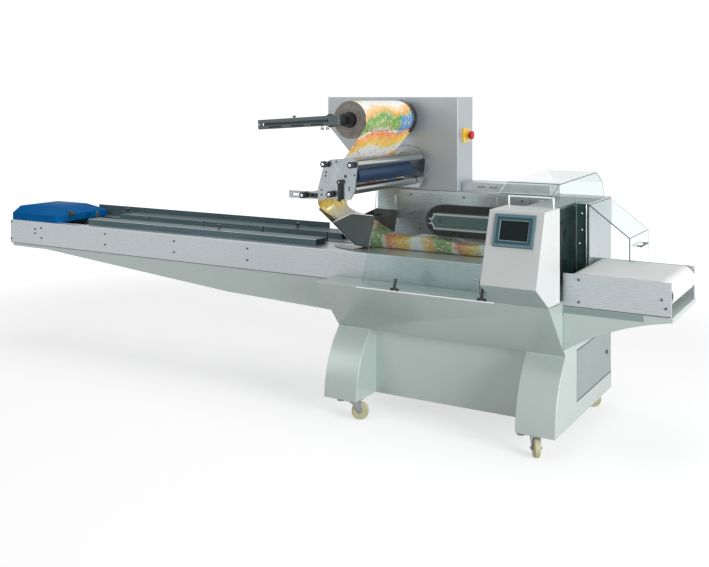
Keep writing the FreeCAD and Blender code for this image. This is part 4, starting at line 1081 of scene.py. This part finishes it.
mesh = bmesh.new()
for side in (-1, 1):
    rail_z = centre_z + side * (pulley_reach - 0.006)
    start = (left_x - 0.026, plate_face - 0.006, rail_z - 0.005)
    add_block(mesh, start, (right_x + 0.020, plate_face, rail_z + 0.005))
clip_x, clip_y = left_x - 0.030, plate_face - 0.0035
for up in (-0.012, 0.012):
    clip_z = centre_z + up
    start = (left_x - 0.052, plate_face - 0.007, clip_z - 0.004)
    add_block(mesh, start, (clip_x, plate_face, clip_z + 0.004))
    add_bar(mesh, (clip_x, clip_y, clip_z), (left_x - 0.020, clip_y, centre_z + 2.4 * up), 0.003, 10)
finish_piece(mesh, "brush_rails", "rail_white", bevel=0.0008)

# %% [markdown]
# ## Acrylic edges
#
# The cut edges of acrylic gather light and look like pale green lines. A glass shader alone shows them dark
# on a white ground, so the narrow faces of each guard are copied, lifted by less than half a millimetre and
# given an opaque frosted colour that paints the light the edges gather: pale on the door, smoky on the hood
# and the guard.

# %% Copy the narrow faces
wide_sheet = 0.013
edge_lift = 0.0004
for node, tone in (("front_door", "pale"), ("hood", "smoke"), ("outfeed_guard", "smoke")):
    mesh = flat_copy(node)
    longest = {face: max(edge.calc_length() for edge in face.edges) for face in mesh.faces}
    wide = [face for face in mesh.faces if face.calc_area() / longest[face] > wide_sheet]
    bmesh.ops.delete(mesh, geom=wide, context="FACES")
    bmesh.ops.split_edges(mesh, edges=mesh.edges)
    for face in mesh.faces:
        bmesh.ops.translate(mesh, verts=face.verts, vec=face.normal * edge_lift)
    piece = new_object(node + "_edges", to_data(mesh, node + "_edges"))
    piece.data.materials.append(finishes["acrylic_edge_" + tone])
    seat(piece, nodes[node]["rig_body"])

# %% [markdown]
# ## Screws
#
# Small hardware tells the eye how big a machine is. Socket screws are turned bodies with a recess, set
# along the conveyor's sides, the outfeed, the backing plate and the feed unit's plate. They all share one
# mesh.

# %% Socket screws
def add_screw(mesh, spot, way, radius=0.006, tall=0.004):
    """A socket screw's head: a chamfered disc with a recess."""
    socket, floor_at = radius * 0.45, tall * 0.35
    profile = ((radius, 0), (radius, tall * 0.8), (radius * 0.86, tall), (socket, tall), (socket, floor_at))
    add_turned(mesh, profile + ((0, floor_at),), spot, way, 16)


side_y, far_side_y = [corner.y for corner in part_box("conveyor_sides")]
backing_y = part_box("backing_plate")[0].y
unit_y = -0.4375
infeed_screws = (
    (-2.180, 0.852), (-2.180, 0.738), (-1.948, 0.817), (-1.948, 0.790), (-1.890, 0.827), (-1.886, 0.761),
    (-1.304, 0.831), (-1.304, 0.764), (-0.731, 0.830), (-0.731, 0.764), (-0.180, 0.830), (-0.180, 0.764),
)
outfeed_screws = ((2.140, 0.787), (2.159, 0.749), (1.760, 0.840), (1.760, 0.735))
backing_screws = ((0.560, 1.125), (0.900, 1.125), (1.250, 1.125), (0.620, 0.930), (1.250, 0.930))
unit_screws = (
    (0.455, 1.215), (0.455, 1.190), (0.480, 1.290), (0.482, 1.310), (0.655, 1.300), (0.622, 1.235),
    (0.622, 1.222), (0.545, 1.365),
)
mesh = bmesh.new()
for x, z in infeed_screws:
    add_screw(mesh, (x, side_y, z), to_front)
    add_screw(mesh, (x, far_side_y, z), to_back)
for x, z in outfeed_screws:
    add_screw(mesh, (x, side_y, z), to_front)
for x, z in backing_screws:
    add_screw(mesh, (x, backing_y, z), to_front)
for x, z in unit_screws:
    add_screw(mesh, (x, unit_y, z), to_front, 0.005, 0.003)
finish_piece(mesh, "socket_screws", "dark_steel")

# %% [markdown]
# ## Knobs and latches
#
# Hand knobs clamp the guides, the side tables and the arm, each on its stud. The end cover has a latch with
# a round button, and the feed unit's knobs get bright caps in their middles.

# %% Knobs, cover latch and knob caps
def add_knob(mesh, spot, radius=0.013, tall=0.030):
    """A small turned hand knob on its stud."""
    stud = ((0.004, 0), (0.004, tall * 0.4))
    grip = ((radius, tall * 0.45), (radius, tall * 0.9), (radius * 0.8, tall), (0, tall))
    add_turned(mesh, stud + grip, spot, upward, 20)


table_top = 0.905
arm_low, arm_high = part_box("reel_arm")
mesh = bmesh.new()
for x, y in ((-1.545, 0.217), (-0.480, -0.118), (-0.115, 0.185)):
    add_knob(mesh, (x, y, table_top))
add_knob(mesh, (0.300, (arm_low.y + arm_high.y) / 2, 1.588), 0.009, 0.014)
finish_piece(mesh, "guide_knobs", "black_plastic")

cover_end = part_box("infeed_end_cover")[1].x
mesh = bmesh.new()
add_block(mesh, (cover_end + 0.0002, -0.110, 0.895), (cover_end + 0.006, -0.062, 0.935))
button = ((0, 0), (0.012, 0), (0.012, 0.006), (0.007, 0.010), (0, 0.010))
add_turned(mesh, button, (cover_end + 0.006, -0.086, 0.915), to_outfeed)
finish_piece(mesh, "cover_latch", "dark_steel", bevel=0.0008)

cap = ((0.0075, 0), (0.0075, 0.0012), (0.0055, 0.0022), (0, 0.0026))
mesh = bmesh.new()
cap_y = -0.4695
for x, z, y in ((0.482, 1.351, cap_y), (0.645, 1.352, cap_y), (*tie_bar[:2], cap_y), (*guide[:2], -0.4595)):
    add_turned(mesh, cap, (x, y, z), to_front, 20)
finish_piece(mesh, "knob_caps", "chrome_wire")

# %% [markdown]
# ## The slotted arm
#
# The arm that steadies the shaft is a channel: two bars with a web between them, raised a little along each
# bar. It slopes by a few degrees, so its points are worked out in its own frame, from its free end.

# %% Arm web and clamp screws
arm_tilt = radians(3.6)
arm_left, arm_tall, bar_tall = 0.071, 0.052, 0.020
arm_root_z = roll_z - tan(arm_tilt) * (roll_x - arm_left) - arm_tall / 2
web_start, web_end = 0.034, 0.440


def on_arm(along, up):
    """(x, z) of a point in the arm's own frame."""
    x = arm_left + along * cos(arm_tilt) - up * sin(arm_tilt)
    return x, arm_root_z + along * sin(arm_tilt) + up * cos(arm_tilt)


mesh = bmesh.new()
for low_up, high_up, near, far in (
    (bar_tall - 0.001, arm_tall - bar_tall + 0.001, 0.008, 0.012), (0.003, bar_tall - 0.003, 0.010, 0.014),
    (arm_tall - bar_tall + 0.003, arm_tall - 0.003, 0.010, 0.014),
):
    corners = ((web_start, low_up), (web_end, low_up), (web_end, high_up), (web_start, high_up))
    corners = [on_arm(along, up) for along, up in corners]
    front = [mesh.verts.new((x, arm_low.y + near, z)) for x, z in corners]
    back = [mesh.verts.new((x, arm_low.y + far, z)) for x, z in corners]
    mesh.faces.new(front)
    mesh.faces.new(back[::-1])
    bridge(mesh, front, back)
finish_piece(mesh, "arm_web", "black_steel")

clamp_y = arm_low.y + 0.010
hex_nut = ((0.0095, 0), (0.0095, 0.008), (0.007, 0.010), (0, 0.010))
mesh = bmesh.new()
for along in (0.405, 0.437):
    x, z = on_arm(along, 0.0)
    add_bar(mesh, (x, clamp_y, z + 0.004), (x, clamp_y, z - 0.016), 0.006)
    add_turned(mesh, hex_nut, (x, clamp_y, z - 0.010), (0, 0, -1), 6)
x, z = on_arm(0.012, arm_tall / 2)
add_screw(mesh, (x, arm_low.y, z), to_front, 0.007, 0.005)
finish_piece(mesh, "arm_clamp_screws", "zinc_steel", smooth_angle=25)

# %% [markdown]
# ## Bright edges and gaps: painted highlights and shadows
#
# A folded sheet's edge shines as a thin bright line, so chrome strips paint that highlight along the tables,
# the deck and the forming box's lips, and a black strip paints the shadow in the gap under the conveyor's
# side.
# All are strips less than a millimetre proud. A darker strip paints the shadow that the outfeed's side casts
# on its bracket.

# %% Strips along the tables, the side, the box and the deck
fence_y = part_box("side_tables")[1].y
infeed_end, base_start, base_end, outfeed_end = -2.188, 0.410, 1.684, 2.180
gap_z, lip_y, deck_y, deck_z = 0.7115, path_centre - 0.1405, -0.4303, 0.7285
highlight_lines = [
    (-1.875, 0.057, fence_y - 0.004, 0.938),
    *[(-1.518, 0.246, y, table_top) for y in (-0.1705, 0.1120, 0.2620)],
    (infeed_end, 1.410, -0.2351, 0.866),
]
# Painted highlights: bright chrome strips along the edges that catch the light.
strip_piece("table_edge_highlights", "chrome_wire", [
    ((start, y, z), (end, y, z), 0.0024, upward, 0.0004) for start, end, y, z in highlight_lines])
# Painted shadow: a black strip for the shade in the gap under the conveyor's side.
strip_piece("side_shadow_gap", "black_steel", [
    ((start, side_y, gap_z), (end, side_y, gap_z), 0.003, to_front, 0.0004)
    for start, end in ((infeed_end, base_start), (base_end, outfeed_end))])
strip_piece("former_lip_highlights", "chrome_wire", [
    ((0.236, lip_y, 1.0655), (0.466, lip_y, 0.8875), 0.0035, to_front, 0.0006),
    ((0.322, lip_y, 1.0000), (0.449, lip_y, 1.0590), 0.0025, to_front, 0.0006),
    ((0.449, lip_y, 1.0585), (0.584, lip_y, 1.0545), 0.0025, to_front, 0.0006)])
strip_piece("deck_edge_highlight", "chrome_wire", [
    ((0.66, deck_y, deck_z), (1.413, deck_y, deck_z), 0.005, to_front, 0.0006)])
# Painted shadow: a darker strip on the bracket's face, where the outfeed's side throws its shade.
bracket_front_y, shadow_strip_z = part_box("outfeed_bracket")[0].y, 0.691
strip_piece("bracket_shadow_strip", "shade_painted_panel", [
    ((1.686, bracket_front_y, shadow_strip_z), (2.060, bracket_front_y, shadow_strip_z), 0.030, to_front, 0.0004)])

# %% [markdown]
# ## The end-seal station and the door's arm
#
# Black strips with bolts frame the station's open end. Dark plates cover its roof and the cabinet's jamb
# beside it, where a bright rod and three bolts show. A bent bar on the front door's inside is its stay, and
# swings with the door.

# %% Station strips, roof and jamb plates, door arm
station_low, station_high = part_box("seal_station")
strip_x, roof_z = station_high.x + 0.003, station_high.z
jamb_y = station_high.y - 0.0012
cabinet_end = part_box("rear_cabinet")[1].x
mesh = bmesh.new()
for y in (station_low.y + 0.014, station_low.y + 0.130, station_high.y - 0.040):
    add_block(mesh, (station_high.x, y, 0.745), (strip_x, y + 0.018, roof_z - 0.020))
for z in (0.80, 0.90, 1.00, 1.10):
    add_screw(mesh, (strip_x, station_high.y - 0.031, z), to_outfeed, 0.005, 0.003)
finish_piece(mesh, "station_strips", "black_steel")

mesh = bmesh.new()
roof_low = (station_low.x + 0.002, station_low.y + 0.002, roof_z)
add_block(mesh, roof_low, (station_high.x - 0.002, station_high.y, roof_z + 0.001))
add_block(mesh, (1.416, station_high.y + 0.002, roof_z), (cabinet_end - 0.004, 0.440, roof_z + 0.001))
add_block(mesh, (strip_x, jamb_y, 0.735), (cabinet_end - 0.003, station_high.y, 1.150))
finish_piece(mesh, "roof_and_jamb_plates", "green_steel", bevel=0.0003)

mesh = bmesh.new()
rod_x, rod_y = 1.668, station_high.y - 0.006
add_bar(mesh, (rod_x, rod_y, 0.740), (rod_x, rod_y, 1.148), 0.0028, 12)
for x, z in ((1.642, 1.016), (1.630, 0.944), (1.642, 1.100)):
    add_screw(mesh, (x, jamb_y, z), to_front)
finish_piece(mesh, "jamb_rod_and_bolts", "chrome_wire")

mesh = bmesh.new()
arm_points = (
    (1.330, -0.4235, 0.760), (1.330, -0.4120, 0.812), (1.326, -0.4090, 0.822), (1.316, -0.4080, 0.826),
    (1.296, -0.4080, 0.826),
)
for first, second in zip(arm_points, arm_points[1:]):
    add_bar(mesh, first, second, 0.0045, 12)
finish_piece(mesh, "door_arm", "zinc_steel", "front_door")

# %% [markdown]
# ## Seams and locks
#
# Dark seams show where the end panels meet and round the pedestal's hatch. The hatch has a round lock, the
# end panel two catches, and the roof box two small fittings on its front.

# %% Seams, hatch lock and fittings
end_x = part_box("lower_housing")[1].x
hatch_low, hatch_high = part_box("pedestal_hatch")
seam_x = hatch_high.x + 0.0010
end_seams = (
    (-0.430, 0.735, -0.274, 0.724), (-0.274, 0.724, -0.236, 0.724), (-0.236, 0.700, -0.205, 0.458),
    (0.192, 1.150, 0.192, 0.875),
)
hatch_seams = (
    (hatch_low.y, hatch_low.z, hatch_low.y, hatch_high.z),
    (hatch_low.y, hatch_high.z, hatch_high.y, hatch_high.z),
    (hatch_low.y, hatch_low.z, hatch_high.y, hatch_low.z),
)
strip_piece("panel_seams", "black_steel", [
    ((x, y, z), (x, to_y, to_z), width, to_outfeed, proud)
    for x, width, proud, seams in (
        (end_x, 0.0022, 0.0004, end_seams), (seam_x, 0.0045, 0.0002, hatch_seams))
    for y, z, to_y, to_z in seams])

mesh = bmesh.new()
for z in (0.605, 0.542):
    add_block(mesh, (end_x, -0.176, z - 0.014), (end_x + 0.006, -0.162, z + 0.014))
lock = ((0, 0), (0.013, 0), (0.013, 0.003), (0.009, 0.005), (0.009, 0.003), (0, 0.003))
add_turned(mesh, lock, (hatch_high.x, 0.516, 0.318), to_outfeed)
box_front = 0.440
for x in (0.955, 1.030):
    add_block(mesh, (x, box_front - 0.0008, 1.181), (x + 0.050, box_front + 0.001, 1.186))
finish_piece(mesh, "locks_and_fittings", "dark_steel", bevel=0.0008)

# %% [markdown]
# ## Pull, sleeve, scale and wire
#
# The pull on the outfeed guard, the black clamp sleeve on the feed unit's slotted bar and the bent wire at
# the unit's far end are bars and blocks. The bar's scale marks are strips, with each fifth one longer.

# %% Pull, sleeve, scale marks and wire
guard_low, guard_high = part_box("outfeed_guard")
guard_x, pull_x, pull_z = guard_high.x, guard_high.x + 0.022, guard_low.z + 0.062
mesh = bmesh.new()
for y in (0.330, 0.450):
    add_bar(mesh, (guard_x, y, pull_z), (pull_x, y, pull_z), 0.004)
add_bar(mesh, (pull_x, 0.322, pull_z), (pull_x, 0.458, pull_z), 0.005)
finish_piece(mesh, "guard_pull", "dark_steel")

bar_face = unit_y + 0.010
mesh = bmesh.new()
add_block(mesh, (0.362, bar_face - 0.009, 1.172), (0.424, bar_face - 0.0004, 1.196))
add_bar(mesh, (0.392, bar_face - 0.009, 1.184), (0.392, bar_face - 0.020, 1.184), 0.008)
finish_piece(mesh, "bar_clamp", "black_plastic", bevel=0.0015)

scale_start, scale_top, scale_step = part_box("feed_plates")[0].x + 0.006, 1.202, 0.005
marks = []
for step in range(18):
    x = scale_start + step * scale_step
    tall = 0.009 if step % 5 == 0 else 0.005
    marks.append(((x, bar_face, scale_top), (x, bar_face, scale_top - tall), 0.0008, to_front, 0.0002))
strip_piece("scale_marks", "black_steel", marks)

wire_y = 0.3445
wire_points = (
    (0.470, 1.386), (0.504, 1.411), (0.537, 1.418), (0.590, 1.413), (0.636, 1.397), (0.649, 1.380),
)
mesh = bmesh.new()
for (ax, az), (bx, bz) in zip(wire_points, wire_points[1:]):
    add_bar(mesh, (ax, wire_y, az), (bx, wire_y, bz), 0.0016, 10)
finish_piece(mesh, "unit_wire", "dark_steel")

# %% [markdown]
# ## Fold plates, screen and axle nuts
#
# Two dark fold plates lie on the channel floor at the box's toe and lead the film's edges under. The screen
# gets a dark step round its glass and a thin bright rim inside its frame, both laid on the bezel's sloping
# face. The casters get their axle nuts, which turn with the forks.

# %% Fold plates
floor_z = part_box("channel_floor")[1].z
fan_start, fan_turn, fan_steps = 100, 70, 8
mesh = bmesh.new()
for side in (-1, 1):
    fan = [(toe_x + 0.05, path_centre + side * 0.088)]
    for step in range(fan_steps + 1):
        angle = radians(fan_start + fan_turn * step / fan_steps)
        reach = 0.088 + 0.125 * sin(angle)
        fan.append((toe_x + 0.06 + 0.21 * cos(angle), path_centre + side * reach))
    add_plate(mesh, [(x, y, floor_z + 0.0035) for x, y in fan], [(x, y, floor_z + 0.0005) for x, y in fan])
finish_piece(mesh, "fold_plates", "green_steel")

# %% Screen step and rim
lean = atan2(0.118, 0.333)
facing = Vector((0, -cos(lean), sin(lean)))
up_face = facing.cross(Vector(to_outfeed))
glass = nodes["screen_glass"].data
corners = sorted({tuple(round(value, 4) for value in vertex.co) for vertex in glass.vertices})
fronts = sorted(corners, key=lambda spot: Vector(spot).dot(facing))[-4:]
centre = sum((Vector(spot) for spot in fronts), Vector()) / 4
fronts.sort(key=lambda spot: atan2(spot[2] - centre.z, spot[0] - centre.x))
order = [Vector(spot) for spot in fronts]
strip_piece("screen_rim", "screen_rim", [
    (first + facing * 0.0008, second + facing * 0.0008, 0.003, facing, 0.0006)
    for first, second in zip(order, order[1:] + order[:1])])

frame_face = max(vertex.co.dot(facing) for vertex in nodes["screen_bezel"].data.vertices)
mesh = bmesh.new()
loops = []
for reach, proud in ((0.0015, -0.0005), (0.0015, 0.0005), (0.0150, 0.0005), (0.0150, -0.0005)):
    loop = []
    for corner in order:
        wide, tall = (corner - centre).x, (corner - centre).dot(up_face)
        wide += copysign(reach, wide)
        tall += copysign(reach, tall)
        spot = centre + Vector(to_outfeed) * wide + up_face * tall
        loop.append(mesh.verts.new(spot + facing * (frame_face - spot.dot(facing) + proud)))
    loops.append(loop)
for first, second in zip(loops, loops[1:] + loops[:1]):
    bridge(mesh, first, second)
finish_piece(mesh, "screen_step", "screen_step")

# %% Axle nuts
axle_nut = ((0, 0), (0.0085, 0), (0.0085, 0.004), (0.0055, 0.0045), (0.0055, 0.007), (0, 0.0075))
joints = {joint["name"]: joint for joint in frame["joints"]}
for place in ("front_left", "front_right", "back_left", "back_right"):
    joint = joints["roll_" + place]
    axle, way = Vector(joint["pos_m"]), Vector(joint["axis"]).normalized()
    mesh = bmesh.new()
    for side in (-1, 1):
        add_turned(mesh, axle_nut, axle + way * side * 0.022, way * side, 6)
    finish_piece(mesh, "axle_nuts_" + place, "zinc_steel", "fork_" + place, smooth_angle=20)
